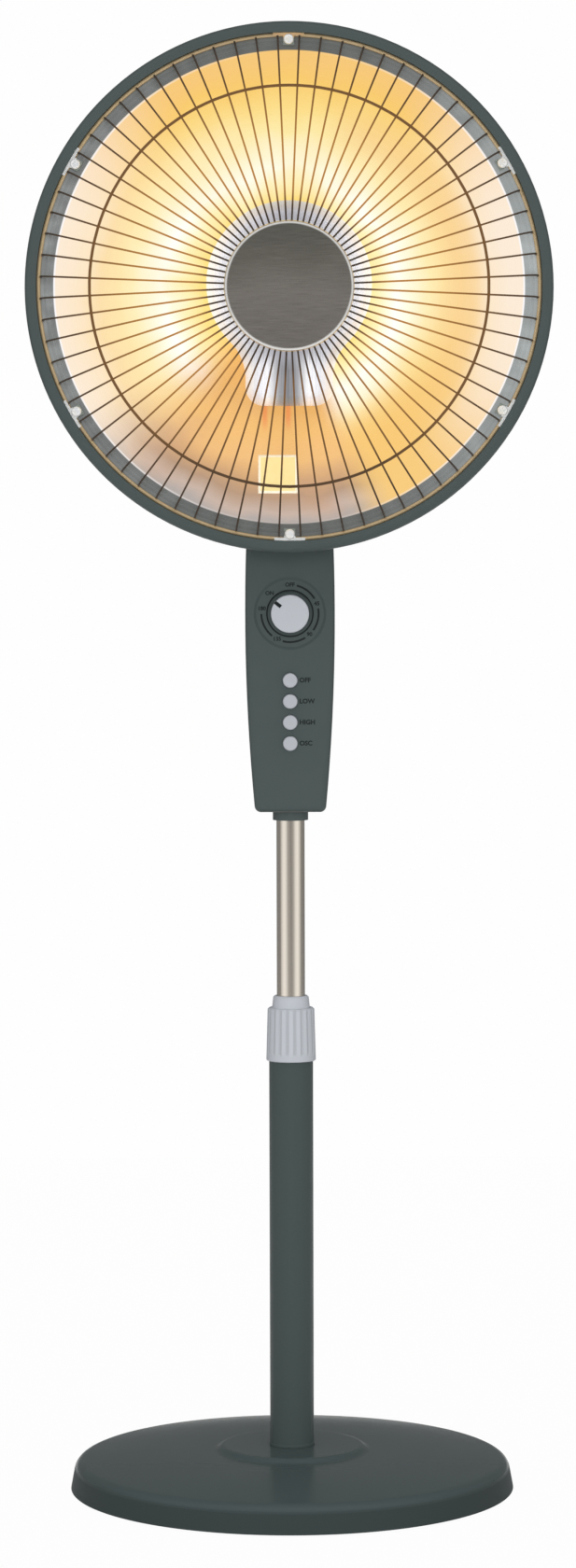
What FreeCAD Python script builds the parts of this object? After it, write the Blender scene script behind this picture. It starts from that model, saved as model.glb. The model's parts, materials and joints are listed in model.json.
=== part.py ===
"""Halogen heater on a telescopic stand, one STEP file for each named piece.

Millimetres. Z is up, the heater faces -Y and the origin is the middle of the base on the floor.
"""
import FreeCAD
import Part
import math
import os

# Clearances
SEAT = 0.1
RUN = 0.05
SLIDE = 0.08
FREE = 0.4
SCREW_FIT = 0.05

# Base
BASE_RADIUS = 174.0
BASE_DRAFT = 4.0
BASE_RIM_HEIGHT = 23.5
BASE_EDGE_ROUND = 9.0
BASE_DOME_HEIGHT = 31.5
BASE_DOME_BULGE = 2.0
BASE_WALL = 3.0
PLATEAU_RADIUS = 60.0
PLATEAU_SLOPE = 4.5
PLATEAU_STEP = 3.5
PLATEAU_ROUND = 5.0
FOOT_HEIGHT = 2.0
FOOT_RADIUS = 9.0
FOOT_STEM_RADIUS = 5.0
FOOT_INSET = 24.0
FOOT_COUNT = 6
PLATE_THICKNESS = 3.5
PLATE_HOLE_RADIUS = 24.0
WEIGHT_GAP = 15.0
WEIGHT_THICKNESS = 6.5
BASE_BOSS_RADIUS = 22.0
BASE_BOSS_DROP = 24.0
BASE_SCREW_INSET = 34.0
BASE_SCREW_BOSS = 5.0
BOLT_RADIUS = 5.0
BOLT_FLANGE_RADIUS = 18.0
BOLT_FLANGE_THICKNESS = 2.0
BOLT_HEAD_FLATS = 16.0
BOLT_HEAD_HEIGHT = 5.5
BOLT_ENGAGEMENT = 20.0

# Lower pole, collet and clamp nut
POLE_RADIUS = 17.2
POLE_WALL = 1.2
POLE_LENGTH = 314.0
POLE_BEAD = 0.5
POLE_BEAD_HEIGHT = 2.0
PLUG_HEIGHT = 25.0
COLLET_SLEEVE = 22.0
COLLET_FLANGE = 2.0
COLLET_THREAD = 20.0
COLLET_FINGER = 11.0
COLLET_TIP_WALL = 1.8
COLLET_SLOT = 1.6
NUT_OVERLAP = 10.0
NUT_HEIGHT = 51.0
NUT_BODY_HEIGHT = 41.5
NUT_RADIUS_BOTTOM = 19.4
NUT_RADIUS_TOP = 18.3
NUT_NECK_RADIUS_BOTTOM = 14.8
NUT_NECK_RADIUS_TOP = 13.9
NUT_EDGE = 1.2
NUT_FLUTES = 20
NUT_FLUTE_RADIUS = 2.6
NUT_FLUTE_DEPTH = 0.5
NUT_PLAIN_BAND = 5.0

# Upper tube, guide and swivel stem
TUBE_RADIUS = 11.0
TUBE_WALL = 1.0
TUBE_EXPOSED = 137.8
LOWERING = 130.0
BUSH_HEIGHT = 18.0
BUSH_FLOOR = 4.0
COLLAR_RADIUS = 13.8
COLLAR_HEIGHT = 7.5
STEM_PLUG = 34.0
STEM_BORE = 5.0
SPINDLE_RADIUS = 8.0
SPINDLE_HEIGHT = 16.5
CLIP_THICKNESS = 1.2
CLIP_GROOVE = 0.8
CLIP_RADIUS = 10.5
CLIP_GAP = 4.0

# Oscillation drive
CRANK_OFFSET = 9.0
CRANK_THROW = 5.8
CRANK_PIN_RADIUS = 2.0
CRANK_DISC_RIM = 4.0
CRANK_DISC_THICKNESS = 4.0
CRANK_SHAFT_RADIUS = 2.0
CRANK_SHAFT_LENGTH = 17.0
SLOT_SIDE = 1.25
ARM_RING_WALL = 3.5
ARM_RING_HEIGHT = 8.0
ARM_PLATE = 3.0
ARM_RIM = 3.2
MOTOR_RADIUS = 18.0
MOTOR_HEIGHT = 17.0
MOTOR_BOSS_RADIUS = 4.0
MOTOR_EAR_REACH = 26.0
MOTOR_EAR_WIDTH = 9.0
MOTOR_EAR_THICKNESS = 1.6
MOTOR_SCREW_X = 22.3
SHELF_THICKNESS = 3.0
SHELF_FRONT = 8.0

# Control housing
POD_HEIGHT = 230.5
POD_DEPTH = 68.0
POD_WIDTH = 69.3
POD_BOTTOM_WIDTH = 54.6
POD_TOP_WIDTH = 65.5
POD_WIDEST_RISE = 156.5
POD_CORNER = 5.0
POD_EDGE_ROUND = 4.6
POD_WALL = 2.4
POD_FRONT_WALL = 3.0
POD_SEAM = 0.3
POD_SCREW_RISE = 14.0
POD_SCREW_DROP = 20.0
POD_SCREW_INSETS = (4.6, 6.5)
POD_SCREW_BOSS = 3.5
SWIVEL_FLANGE = 2.5
SWIVEL_FLANGE_RADIUS = 13.0
SWIVEL_WALL = 2.4

# Timer, knob, buttons and switches
KNOB_RISE = 153.9
DIAL_RADIUS = 28.0
DIAL_DEPTH = 1.0
POCKET_RADIUS = 18.4
POCKET_DEPTH = 1.6
KNOB_SKIRT_RADIUS = 17.2
KNOB_SKIRT_HEIGHT = 3.2
KNOB_CAP_RADIUS = 14.6
KNOB_CAP_HEIGHT = 11.0
KNOB_CAP_FACE = 3.0
KNOB_CAP_ROUND = 1.0
KNOB_BOSS_RADIUS = 11.0
KNOB_NOTCH_WIDTH = 2.8
KNOB_NOTCH_DEPTH = 1.8
KNOB_NOTCH_START = 8.8
KNOB_REST_ANGLE = 52.0
TIMER_SIZE = 44.0
TIMER_DEPTH = 22.0
TIMER_SHAFT_RADIUS = 3.0
TIMER_SHAFT_SINK = 16.0
BUTTON_TOP_RISE = 102.3
BUTTON_PITCH = 16.25
BUTTON_NAMES = ("button_off", "button_low", "button_high", "button_osc")
BUTTON_RADIUS = 5.65
BUTTON_PROUD = 4.6
BUTTON_ROUND = 1.2
BUTTON_FLANGE_RADIUS = 7.0
BUTTON_FLANGE = 2.0
BUTTON_STEM_RADIUS = 3.0
BUTTON_STEM = 4.5
BUTTON_TRAVEL = 3.5
BANK_WIDTH = 26.0
BANK_END = 8.5
BANK_EAR = 9.0
BANK_EAR_THICKNESS = 2.0
BANK_DEPTH = 9.4
BANK_POST_RADIUS = 3.4
TERMINAL_WIDTH = 34.0
TERMINAL_DEPTH = 13.0
TERMINAL_HEIGHT = 14.0
TERMINAL_RISE = 88.0
TERMINAL_WAYS = 4
TIP_WIDTH = 20.0
TIP_DEPTH = 16.0
TIP_HEIGHT = 24.0
TIP_DROP = 38.0
VENT_RISE = 132.0
VENT_PITCH = 7.0
VENT_COUNT = 6
VENT_WIDTH = 36.0
VENT_HEIGHT = 2.6
GLAND_RISE = 17.0
GLAND_BORE = 3.6
GLAND_RADIUS = 6.0
GLAND_FLANGE_RADIUS = 8.5
GLAND_FLANGE = 3.0
GLAND_NOSE = 9.0
GLAND_NOSE_RADIUS = 5.4
GLAND_TAIL = 4.0

# Tilt joint
PIVOT_RISE = 24.0
PIVOT_Y = 13.0
FORK_BASE = 4.0
FORK_EAR = 8.0
FORK_RADIUS = 14.0
LUG_HALF = 12.0
LUG_RADIUS = 13.0
LUG_THICKNESS = 8.0
LUG_PLATE_HALF = 20.0
LUG_FORK_GAP = 3.0
LUG_SCREW_X = 13.0
LUG_SCREW_DROPS = (62.0, 26.0)
LUG_TOP_DROP = 14.0
LUG_ROUND = 5.0
TILT_BOLT_RADIUS = 3.0
TILT_HEAD_RADIUS = 6.0
TILT_HEAD_HEIGHT = 4.0
TILT_NUT_FLATS = 10.0
TILT_NUT_HEIGHT = 5.0
TILT_WASHER = 1.0
TILT_WASHER_RADIUS = 11.0
FORK_SCREW_Y = (4.0, 22.0)
FORK_SCREW_BOSS_DROP = 12.0

# Head shell
HEAD_RISE = 147.0
HEAD_RADIUS = 200.0
HEAD_BACK_INSET = 3.0
COVER_WALL = 2.2
COVER_FLAT_RADIUS = 80.0
COVER_BULGE = 6.0
COVER_RIM_WIDTH = 20.0
COVER_LUG_BOSS = 8.0
VENT_SLOTS = 24
VENT_SLOT_WIDTH = 5.0
VENT_SLOT_FLAT_GAP = 20.0
VENT_SLOT_RIM_GAP = 22.0
RING_DEPTH = 34.5
RING_WALL = 3.0
RING_LIP = 8.7
RING_ROUND = 5.0
RING_PROUD = 6.0
LEDGE_WIDTH = 9.5
LEDGE_THICKNESS = 4.2
COVER_SCREW_BOSS = 4.0
COVER_SCREW_INSET = 10.0
HEAD_SCREWS = 6

# Reflector
SHEET = 0.8
DISH_GAP = 16.0
DISH_DEPTH = 80.0
FLANGE_WIDTH = 12.6
DISH_FLAT_RADIUS = 22.0
DISH_POINTS = 7

# Grille
SPOKES = 72
SPOKE_WIRE = 0.7
SPOKE_START = 40.0
SPOKE_BEND = 9.0
GRILLE_RISE = 20.0
GRILLE_CROWN = 6.4
RIM_WIRE = 1.5
MID_WIRE = 1.1
MID_RING_INSET = 39.5
HUB_WIRE = 1.3
HUB_RING_RADIUS = 43.0
WELD = 0.3
HUB_RADIUS = 49.2
HUB_DEPTH = 4.0
HUB_SHEET = 1.0
HUB_ROUND = 3.0
HUB_STUD_RADIUS = 2.0
HUB_PLATE_RADIUS = 44.0
HUB_STUD_PROUD = 2.0
CLIP_BAR_WIDTH = 23.4
CLIP_TAB_WIDTH = 8.4
CLIP_TAB_REACH = 9.4
CLIP_SPOKE_GAP = 0.2
CLIP_SHEET = 0.8
CLIP_SCREW_INSET = 5.2
CLIP_SCREW_HEAD = 3.8
CLIP_SCREW_HEAD_HEIGHT = 2.2

# Lamp, shield and their supports
LAMP_FORWARD = 32.0
LAMP_RING_RADIUS = 45.0
LAMP_TUBE_RADIUS = 5.5
LAMP_TUBE_WALL = 1.0
LAMP_LEG_X = 11.0
LAMP_BEND = 14.0
LAMP_LEG_DROP = 80.0
FILAMENT_RADIUS = 1.5
CAP_WIDTH = 14.0
CAP_DEPTH = 14.0
CAP_ABOVE = 8.0
CAP_BELOW = 8.0
BRACKET_SHEET = 1.2
BRACKET_WIDTH = 40.0
BRACKET_EYE = 15.0
POST_RADIUS = 8.0
POST_NECK_RADIUS = 6.0
POST_FLANGE_RADIUS = 14.0
POST_FLANGE = 2.0
POST_STUD_RADIUS = 4.0
POST_STUD = 9.0
POST_NUT_FLATS = 13.0
POST_NUT_HEIGHT = 4.5
SHIELD_RADIUS = 63.4
SHIELD_NECK_HALF = 33.6
SHIELD_FILLET = 40.0
SHIELD_DROP = 93.2
SHIELD_RISE = 5.0
SHIELD_CORNER = 14.0
SHIELD_GAP = 3.0
SHIELD_STEPS = ((0.0, 0.0), (1.2, 6.0), (4.2, 12.0), (9.5, 16.5))
SHIELD_SHEET = 0.9
BLOCK_WIDTH = 26.0
BLOCK_HEIGHT = 15.0
BLOCK_DEPTH = 9.0
BLOCK_RISE = 36.0

# Small screws
SCREW_RADIUS = 1.5
SCREW_HEAD_RADIUS = 3.4
SCREW_HEAD_HEIGHT = 1.9
SCREW_LENGTH = 9.0
SCREW_PILOT = SCREW_RADIUS + SCREW_FIT
SCREW_CLEARANCE = SCREW_RADIUS + 0.35
COUNTERBORE_RADIUS = SCREW_HEAD_RADIUS + FREE
COUNTERBORE_DEPTH = SCREW_HEAD_HEIGHT + SEAT

# Heights, stacked from the floor
PLATE_TOP = FOOT_HEIGHT + PLATE_THICKNESS
BASE_TOP = BASE_DOME_HEIGHT + PLATEAU_STEP
BASE_BOSS_BOTTOM = BASE_TOP - BASE_BOSS_DROP
POLE_BORE = POLE_RADIUS - POLE_WALL
POLE_BOTTOM = BASE_TOP + SEAT
POLE_TOP = POLE_BOTTOM + POLE_LENGTH
PLUG_TOP = POLE_BOTTOM + PLUG_HEIGHT
COLLET_BOTTOM = POLE_TOP - COLLET_SLEEVE
NUT_BOTTOM = POLE_TOP - NUT_OVERLAP
NUT_TOP = NUT_BOTTOM + NUT_HEIGHT
COLLAR_BOTTOM = NUT_TOP + TUBE_EXPOSED
COLLAR_TOP = COLLAR_BOTTOM + COLLAR_HEIGHT
POD_BOTTOM = COLLAR_TOP + FREE
POD_TOP = POD_BOTTOM + POD_HEIGHT
PIVOT_Z = POD_TOP + PIVOT_RISE
HEAD_Z = PIVOT_Z + HEAD_RISE
BUSH_BOTTOM = PLUG_TOP + LOWERING + BUSH_FLOOR
TUBE_BOTTOM = BUSH_BOTTOM + BUSH_FLOOR

# Base circles
FOOT_CIRCLE = BASE_RADIUS - FOOT_INSET
BASE_SCREW_CIRCLE = BASE_RADIUS - BASE_SCREW_INSET
WEIGHT_RADIUS = BASE_SCREW_CIRCLE - BASE_SCREW_BOSS - WEIGHT_GAP

# Swivel and drive heights
POD_FLOOR = POD_BOTTOM + POD_WALL
SPINDLE_TOP = COLLAR_TOP + SPINDLE_HEIGHT
SWIVEL_TOP = POD_FLOOR + SEAT + SWIVEL_FLANGE
SPINDLE_CLIP_Z = SWIVEL_TOP + SEAT
ARM_RING_BOTTOM = SPINDLE_TOP + 1.5 - ARM_RING_HEIGHT
ARM_BOTTOM = ARM_RING_BOTTOM + ARM_RING_HEIGHT
ARM_TOP = ARM_BOTTOM + ARM_PLATE
CRANK_BOTTOM = ARM_TOP + 2.4
CRANK_TOP = CRANK_BOTTOM + CRANK_DISC_THICKNESS
SHELF_BOTTOM = CRANK_TOP + 2.4
SHELF_TOP = SHELF_BOTTOM + SHELF_THICKNESS
MOTOR_BOTTOM = SHELF_TOP + SEAT

# Control housing positions
POD_FRONT = -POD_DEPTH / 2
POD_BACK = POD_DEPTH / 2
POD_INNER_FRONT = POD_FRONT + POD_FRONT_WALL
POD_INNER_BACK = POD_BACK - POD_WALL
POD_WIDEST = POD_BOTTOM + POD_WIDEST_RISE
POD_SCREW_RISES = (POD_SCREW_RISE, POD_HEIGHT - POD_SCREW_DROP)
KNOB_Z = POD_BOTTOM + KNOB_RISE
BUTTON_TOP_Z = POD_BOTTOM + BUTTON_TOP_RISE
BUTTON_HEIGHTS = [BUTTON_TOP_Z - BUTTON_PITCH * row for row in range(len(BUTTON_NAMES))]
BUTTON_FLANGE_FRONT = POD_INNER_FRONT + 0.3
BUTTON_STEM_END = BUTTON_FLANGE_FRONT + BUTTON_FLANGE + BUTTON_STEM
BANK_FRONT = BUTTON_STEM_END + BUTTON_TRAVEL + FREE
BANK_LOW = BUTTON_HEIGHTS[-1] - BANK_END
BANK_HIGH = BUTTON_HEIGHTS[0] + BANK_END
BANK_SCREW_HEIGHTS = (BANK_LOW - BANK_EAR / 2, BANK_HIGH + BANK_EAR / 2)

# Head positions, from the tilt pivot forwards
HEAD_BACK = PIVOT_Y - HEAD_BACK_INSET
COVER_INSIDE = HEAD_BACK - COVER_WALL
DISH_VERTEX = HEAD_BACK - DISH_GAP
FLANGE_FRONT = DISH_VERTEX - DISH_DEPTH
LEDGE_FRONT = FLANGE_FRONT + SHEET + SEAT
LEDGE_BACK = LEDGE_FRONT + LEDGE_THICKNESS
RING_FRONT = FLANGE_FRONT - RING_PROUD
RING_BACK = RING_FRONT + RING_DEPTH
RING_OPENING = HEAD_RADIUS - RING_LIP
LEDGE_INNER = RING_OPENING - LEDGE_WIDTH
FLANGE_RADIUS = RING_OPENING - 0.3
DISH_RADIUS = FLANGE_RADIUS - FLANGE_WIDTH
COVER_RIM_RADIUS = HEAD_RADIUS - RING_WALL - 0.3
COVER_RIM_INNER = HEAD_RADIUS - COVER_RIM_WIDTH
VENT_SLOT_START = COVER_FLAT_RADIUS + VENT_SLOT_FLAT_GAP
VENT_SLOT_END = COVER_RIM_INNER - VENT_SLOT_RIM_GAP
COVER_RIM_BACK = RING_BACK - FREE
COVER_RIM_FRONT = COVER_RIM_BACK - COVER_WALL
COVER_SCREW_CIRCLE = HEAD_RADIUS - COVER_SCREW_INSET
RIM_WIRE_Y = FLANGE_FRONT - 0.2 - RIM_WIRE
RIM_WIRE_RADIUS = RING_OPENING - SEAT - RIM_WIRE
MID_RING_RADIUS = RIM_WIRE_RADIUS - MID_RING_INSET
GRILLE_EDGE_Y = FLANGE_FRONT - GRILLE_RISE
GRILLE_HUB_Y = GRILLE_EDGE_Y - GRILLE_CROWN
SPOKE_END_RADIUS = RIM_WIRE_RADIUS - RIM_WIRE - SPOKE_WIRE + WELD
CLIP_BACK = RIM_WIRE_Y - RIM_WIRE - 0.2
CLIP_FRONT = CLIP_BACK - CLIP_SHEET
CLIP_OUTER = RING_OPENING - 0.2
CLIP_SCREW_CIRCLE = RING_OPENING - CLIP_SCREW_INSET
LAMP_Y = DISH_VERTEX - LAMP_FORWARD
CAP_BACK = LAMP_Y + CAP_DEPTH / 2
CAP_FRONT = LAMP_Y - CAP_DEPTH / 2
BRACKET_FRONT = CAP_BACK + SEAT
BRACKET_BACK = BRACKET_FRONT + BRACKET_SHEET
SHIELD_RIM_Y = CAP_FRONT - SHIELD_GAP
SHIELD_FACE_Y = SHIELD_RIM_Y - SHIELD_STEPS[-1][1]

ORIGIN = FreeCAD.Vector(0, 0, 0)
AXIS_X = FreeCAD.Vector(1, 0, 0)
AXIS_Y = FreeCAD.Vector(0, 1, 0)
AXIS_Z = FreeCAD.Vector(0, 0, 1)
HEAD_CENTRE = FreeCAD.Vector(0, 0, HEAD_Z)
FAR = 1000.0


def vec(x, y, z):
    return FreeCAD.Vector(x, y, z)


def in_xz(u, v):
    return vec(u, 0, v)


def in_xy(u, v):
    return vec(u, v, 0)


def in_yz(u, v):
    return vec(0, u, v)


def outline(points, place):
    """Closed wire through points; a pair of points is an arc by its middle and its end."""
    edges = []
    here = points[0]
    for step in points[1:]:
        if isinstance(step[0], tuple):
            middle, end = step
            edges.append(Part.Arc(place(*here), place(*middle), place(*end)).toShape())
        else:
            end = step
            edges.append(Part.makeLine(place(*here), place(*end)))
        here = end
    if here != points[0]:
        edges.append(Part.makeLine(place(*here), place(*points[0])))
    return Part.Wire(edges)


def turned(points):
    """Solid turned about the stand's axis from an (r, z) outline."""
    return Part.Face(outline(points, in_xz)).revolve(ORIGIN, AXIS_Z, 360)


def spun(points):
    """Solid turned about the head's axis from an (r, y) outline."""
    solid = Part.Face(outline(points, in_xy)).revolve(ORIGIN, AXIS_Y, 360)
    solid.translate(HEAD_CENTRE)
    return solid


def rod(radius, start, end):
    along = end - start
    return Part.makeCylinder(radius, along.Length, start, along)


def block(low, high):
    size = high - low
    return Part.makeBox(size.x, size.y, size.z, low)


def hexagon(flats, start, end):
    """Hexagonal bar between two points, measured across its flats."""
    along = end - start
    corner = flats / math.sqrt(3)
    points = [vec(corner * math.cos(a), corner * math.sin(a), 0)
              for a in [math.radians(60 * side) for side in range(6)]]
    face = Part.Face(Part.makePolygon(points + points[:1]))
    bar = face.extrude(vec(0, 0, along.Length))
    bar.Placement = FreeCAD.Placement(start, FreeCAD.Rotation(AXIS_Z, along))
    return bar


def joined(shapes):
    return shapes[0].multiFuse(shapes[1:]).removeSplitter()


def cut_all(shape, tools):
    return shape.cut(Part.makeCompound(tools))


def spread(shape, count, centre, axis, first=0.0):
    """Equal copies of a shape around an axis."""
    copies = []
    for number in range(count):
        item = shape.copy()
        item.rotate(centre, axis, first + 360.0 * number / count)
        copies.append(item)
    return copies


def screw(seat, outward, length, head_radius=SCREW_HEAD_RADIUS, head_height=SCREW_HEAD_HEIGHT):
    """Cross-head screw; seat is the middle of the head's underside."""
    edge = head_height * 0.4
    crown = ((head_radius * 0.82, head_height * 0.86), (head_radius * 0.45, head_height))
    points = [(0, -length), (SCREW_RADIUS, -length), (SCREW_RADIUS, 0), (head_radius, 0),
              (head_radius, edge), crown, (0, head_height)]
    body = turned(points)
    reach = head_radius * 0.55
    width = head_radius * 0.14
    depth = head_height * 0.5
    bar = block(vec(-reach, -width, depth), vec(reach, width, head_height + 1))
    body = cut_all(body, spread(bar, 4, ORIGIN, AXIS_Z)[:2])
    body.Placement = FreeCAD.Placement(seat, FreeCAD.Rotation(AXIS_Z, outward))
    return body


def circle_edges(shape, radius, height):
    """Round edges of a turned solid at one radius and height."""
    found = []
    for edge in shape.Edges:
        curve = edge.Curve
        if not isinstance(curve, Part.Circle):
            continue
        if abs(curve.Radius - radius) < 0.001 and abs(curve.Center.z - height) < 0.001:
            found.append(edge)
    return found


def flat_edges(shape, y):
    """Edges that lie in the plane at y."""
    return [edge for edge in shape.Edges
            if abs(edge.BoundBox.YMin - y) < 0.01 and abs(edge.BoundBox.YMax - y) < 0.01]


def edges_along_y(shape, z_test):
    """Straight edges parallel to Y whose height passes a test."""
    return [edge for edge in shape.Edges
            if edge.BoundBox.XLength < 0.01 and edge.BoundBox.ZLength < 0.01
            and z_test(edge.BoundBox.ZMin)]


def base_solid(inset):
    """The base's outline as a full solid, drawn in by inset above its open bottom."""
    rim_radius = BASE_RADIUS - BASE_DRAFT - inset
    rim_height = BASE_RIM_HEIGHT - inset
    dome_height = BASE_DOME_HEIGHT - inset
    middle_radius = (rim_radius + PLATEAU_RADIUS) / 2
    middle_height = (rim_height + dome_height) / 2 + BASE_DOME_BULGE
    body = turned([
        (0, FOOT_HEIGHT),
        (BASE_RADIUS - inset, FOOT_HEIGHT),
        (rim_radius, rim_height),
        ((middle_radius, middle_height), (PLATEAU_RADIUS, dome_height)),
        (PLATEAU_RADIUS - PLATEAU_SLOPE, BASE_TOP - inset),
        (0, BASE_TOP - inset)])
    return body.makeFillet(BASE_EDGE_ROUND - inset, circle_edges(body, rim_radius, rim_height))


def base_screw_spots(z):
    spots = []
    for number in range(FOOT_COUNT):
        angle = math.radians(360.0 * (number + 0.5) / FOOT_COUNT)
        spots.append(vec(BASE_SCREW_CIRCLE * math.cos(angle), BASE_SCREW_CIRCLE * math.sin(angle), z))
    return spots


def base_nodes():
    crisp = base_solid(0)
    step_edges = circle_edges(crisp, PLATEAU_RADIUS - PLATEAU_SLOPE, BASE_TOP)
    step_edges += circle_edges(crisp, PLATEAU_RADIUS, BASE_DOME_HEIGHT)
    outer = crisp.makeFillet(PLATEAU_ROUND, step_edges)
    shell = outer.cut(base_solid(BASE_WALL))
    centre_boss = rod(BASE_BOSS_RADIUS, vec(0, 0, BASE_BOSS_BOTTOM), vec(0, 0, BASE_TOP))
    bosses = [rod(BASE_SCREW_BOSS, spot, spot + AXIS_Z * BASE_TOP).common(outer)
              for spot in base_screw_spots(PLATE_TOP + SEAT)]
    cover = joined([shell, centre_boss] + bosses)
    holes = [rod(SCREW_PILOT, spot, spot + AXIS_Z * SCREW_LENGTH) for spot in base_screw_spots(PLATE_TOP)]
    bolt_hole = rod(BOLT_RADIUS + FREE, vec(0, 0, 0), vec(0, 0, BASE_TOP + 1))
    cover = cut_all(cover, holes + [bolt_hole])

    taper = BASE_DRAFT * PLATE_THICKNESS / (BASE_RIM_HEIGHT - FOOT_HEIGHT)
    plate_radius = BASE_RADIUS - BASE_WALL - taper - 0.3
    plate = rod(plate_radius, vec(0, 0, FOOT_HEIGHT), vec(0, 0, PLATE_TOP))
    openings = [rod(PLATE_HOLE_RADIUS, vec(0, 0, 0), vec(0, 0, PLATE_TOP + 1))]
    foot_hole = rod(FOOT_STEM_RADIUS + SEAT, vec(FOOT_CIRCLE, 0, 0), vec(FOOT_CIRCLE, 0, PLATE_TOP + 1))
    openings += spread(foot_hole, FOOT_COUNT, ORIGIN, AXIS_Z)
    for spot in base_screw_spots(0):
        openings.append(rod(SCREW_CLEARANCE, spot, spot + AXIS_Z * (PLATE_TOP + 1)))
        openings.append(rod(COUNTERBORE_RADIUS, spot, spot + AXIS_Z * (FOOT_HEIGHT + COUNTERBORE_DEPTH)))
    plate = cut_all(plate, openings)

    weight_bottom = PLATE_TOP + SEAT
    weight = turned([(BASE_BOSS_RADIUS + 2, weight_bottom), (WEIGHT_RADIUS, weight_bottom),
                     (WEIGHT_RADIUS, weight_bottom + WEIGHT_THICKNESS),
                     (BASE_BOSS_RADIUS + 2, weight_bottom + WEIGHT_THICKNESS)])

    foot = turned([(0, 0), (FOOT_RADIUS, 0), (FOOT_RADIUS, FOOT_HEIGHT - SEAT),
                   (FOOT_STEM_RADIUS, FOOT_HEIGHT - SEAT), (FOOT_STEM_RADIUS, PLATE_TOP), (0, PLATE_TOP)])
    foot.translate(vec(FOOT_CIRCLE, 0, 0))
    feet = Part.makeCompound(spread(foot, FOOT_COUNT, ORIGIN, AXIS_Z))

    seat_height = FOOT_HEIGHT + COUNTERBORE_DEPTH
    screws = Part.makeCompound([screw(spot, -AXIS_Z, SCREW_LENGTH) for spot in base_screw_spots(seat_height)])

    flange_top = BASE_BOSS_BOTTOM - SEAT
    flange_bottom = flange_top - BOLT_FLANGE_THICKNESS
    bolt = joined([
        hexagon(BOLT_HEAD_FLATS, vec(0, 0, flange_bottom - BOLT_HEAD_HEIGHT), vec(0, 0, flange_bottom)),
        rod(BOLT_FLANGE_RADIUS, vec(0, 0, flange_bottom), vec(0, 0, flange_top)),
        rod(BOLT_RADIUS, vec(0, 0, flange_top), vec(0, 0, POLE_BOTTOM + BOLT_ENGAGEMENT))])
    return {"base_cover": cover, "base_plate": plate, "base_weight": weight, "base_feet": feet,
            "base_screws": screws, "base_bolt": bolt}


def pole_nodes():
    bead = POLE_RADIUS + POLE_BEAD
    pole = turned([(POLE_BORE, POLE_BOTTOM), (bead, POLE_BOTTOM),
                   (bead, POLE_BOTTOM + POLE_BEAD_HEIGHT - POLE_BEAD),
                   (POLE_RADIUS, POLE_BOTTOM + POLE_BEAD_HEIGHT), (POLE_RADIUS, POLE_TOP), (POLE_BORE, POLE_TOP)])
    plug = turned([(BOLT_RADIUS + SCREW_FIT, POLE_BOTTOM), (POLE_BORE - SEAT, POLE_BOTTOM),
                   (POLE_BORE - SEAT, PLUG_TOP), (BOLT_RADIUS + SCREW_FIT, PLUG_TOP)])

    bore = TUBE_RADIUS + SLIDE
    flange_top = POLE_TOP + SEAT + COLLET_FLANGE
    thread_top = flange_top + COLLET_THREAD
    thread_radius = POLE_RADIUS - 0.7
    finger_radius = thread_radius - 1.6
    tip = thread_top + COLLET_FINGER
    collet = turned([
        (bore, COLLET_BOTTOM), (POLE_BORE - SEAT, COLLET_BOTTOM), (POLE_BORE - SEAT, POLE_TOP + SEAT),
        (POLE_RADIUS - 0.2, POLE_TOP + SEAT), (POLE_RADIUS - 0.2, flange_top), (thread_radius, flange_top),
        (thread_radius, thread_top), (finger_radius, thread_top), (bore + COLLET_TIP_WALL, tip), (bore, tip)])
    slot = block(vec(-FAR / 10, -COLLET_SLOT / 2, flange_top + COLLET_THREAD / 2),
                 vec(FAR / 10, COLLET_SLOT / 2, tip + 1))
    collet = cut_all(collet, [slot, spread(slot, 4, ORIGIN, AXIS_Z)[1]])

    body_top = NUT_BOTTOM + NUT_BODY_HEIGHT
    nut = turned([
        (POLE_RADIUS + 0.3, NUT_BOTTOM), (NUT_RADIUS_BOTTOM - NUT_EDGE / 2, NUT_BOTTOM),
        (NUT_RADIUS_BOTTOM, NUT_BOTTOM + NUT_EDGE / 2), (NUT_RADIUS_TOP, body_top - NUT_EDGE),
        (NUT_RADIUS_TOP - NUT_EDGE, body_top), (NUT_NECK_RADIUS_BOTTOM, body_top),
        (NUT_NECK_RADIUS_TOP, NUT_TOP - NUT_EDGE), (NUT_NECK_RADIUS_TOP - NUT_EDGE, NUT_TOP),
        (TUBE_RADIUS + FREE, NUT_TOP), (TUBE_RADIUS + FREE, tip + 1.5),
        (bore + COLLET_TIP_WALL + 0.6, tip + 0.6), (finger_radius + 0.6, thread_top + 0.6),
        (thread_radius + 0.15, thread_top + 0.3), (thread_radius + 0.15, flange_top + 0.4),
        (POLE_RADIUS + 0.3, flange_top + 0.4)])
    flute_low = NUT_BOTTOM + NUT_PLAIN_BAND
    offset = NUT_FLUTE_RADIUS - NUT_FLUTE_DEPTH
    flute = rod(NUT_FLUTE_RADIUS, vec(NUT_RADIUS_BOTTOM + offset, 0, flute_low),
                vec(NUT_RADIUS_TOP + offset, 0, body_top + 1))
    nut = cut_all(nut, spread(flute, NUT_FLUTES, ORIGIN, AXIS_Z, 180.0 / NUT_FLUTES))
    return {"lower_pole": pole, "pole_plug": plug, "pole_collet": collet, "clamp_nut": nut}


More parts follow.
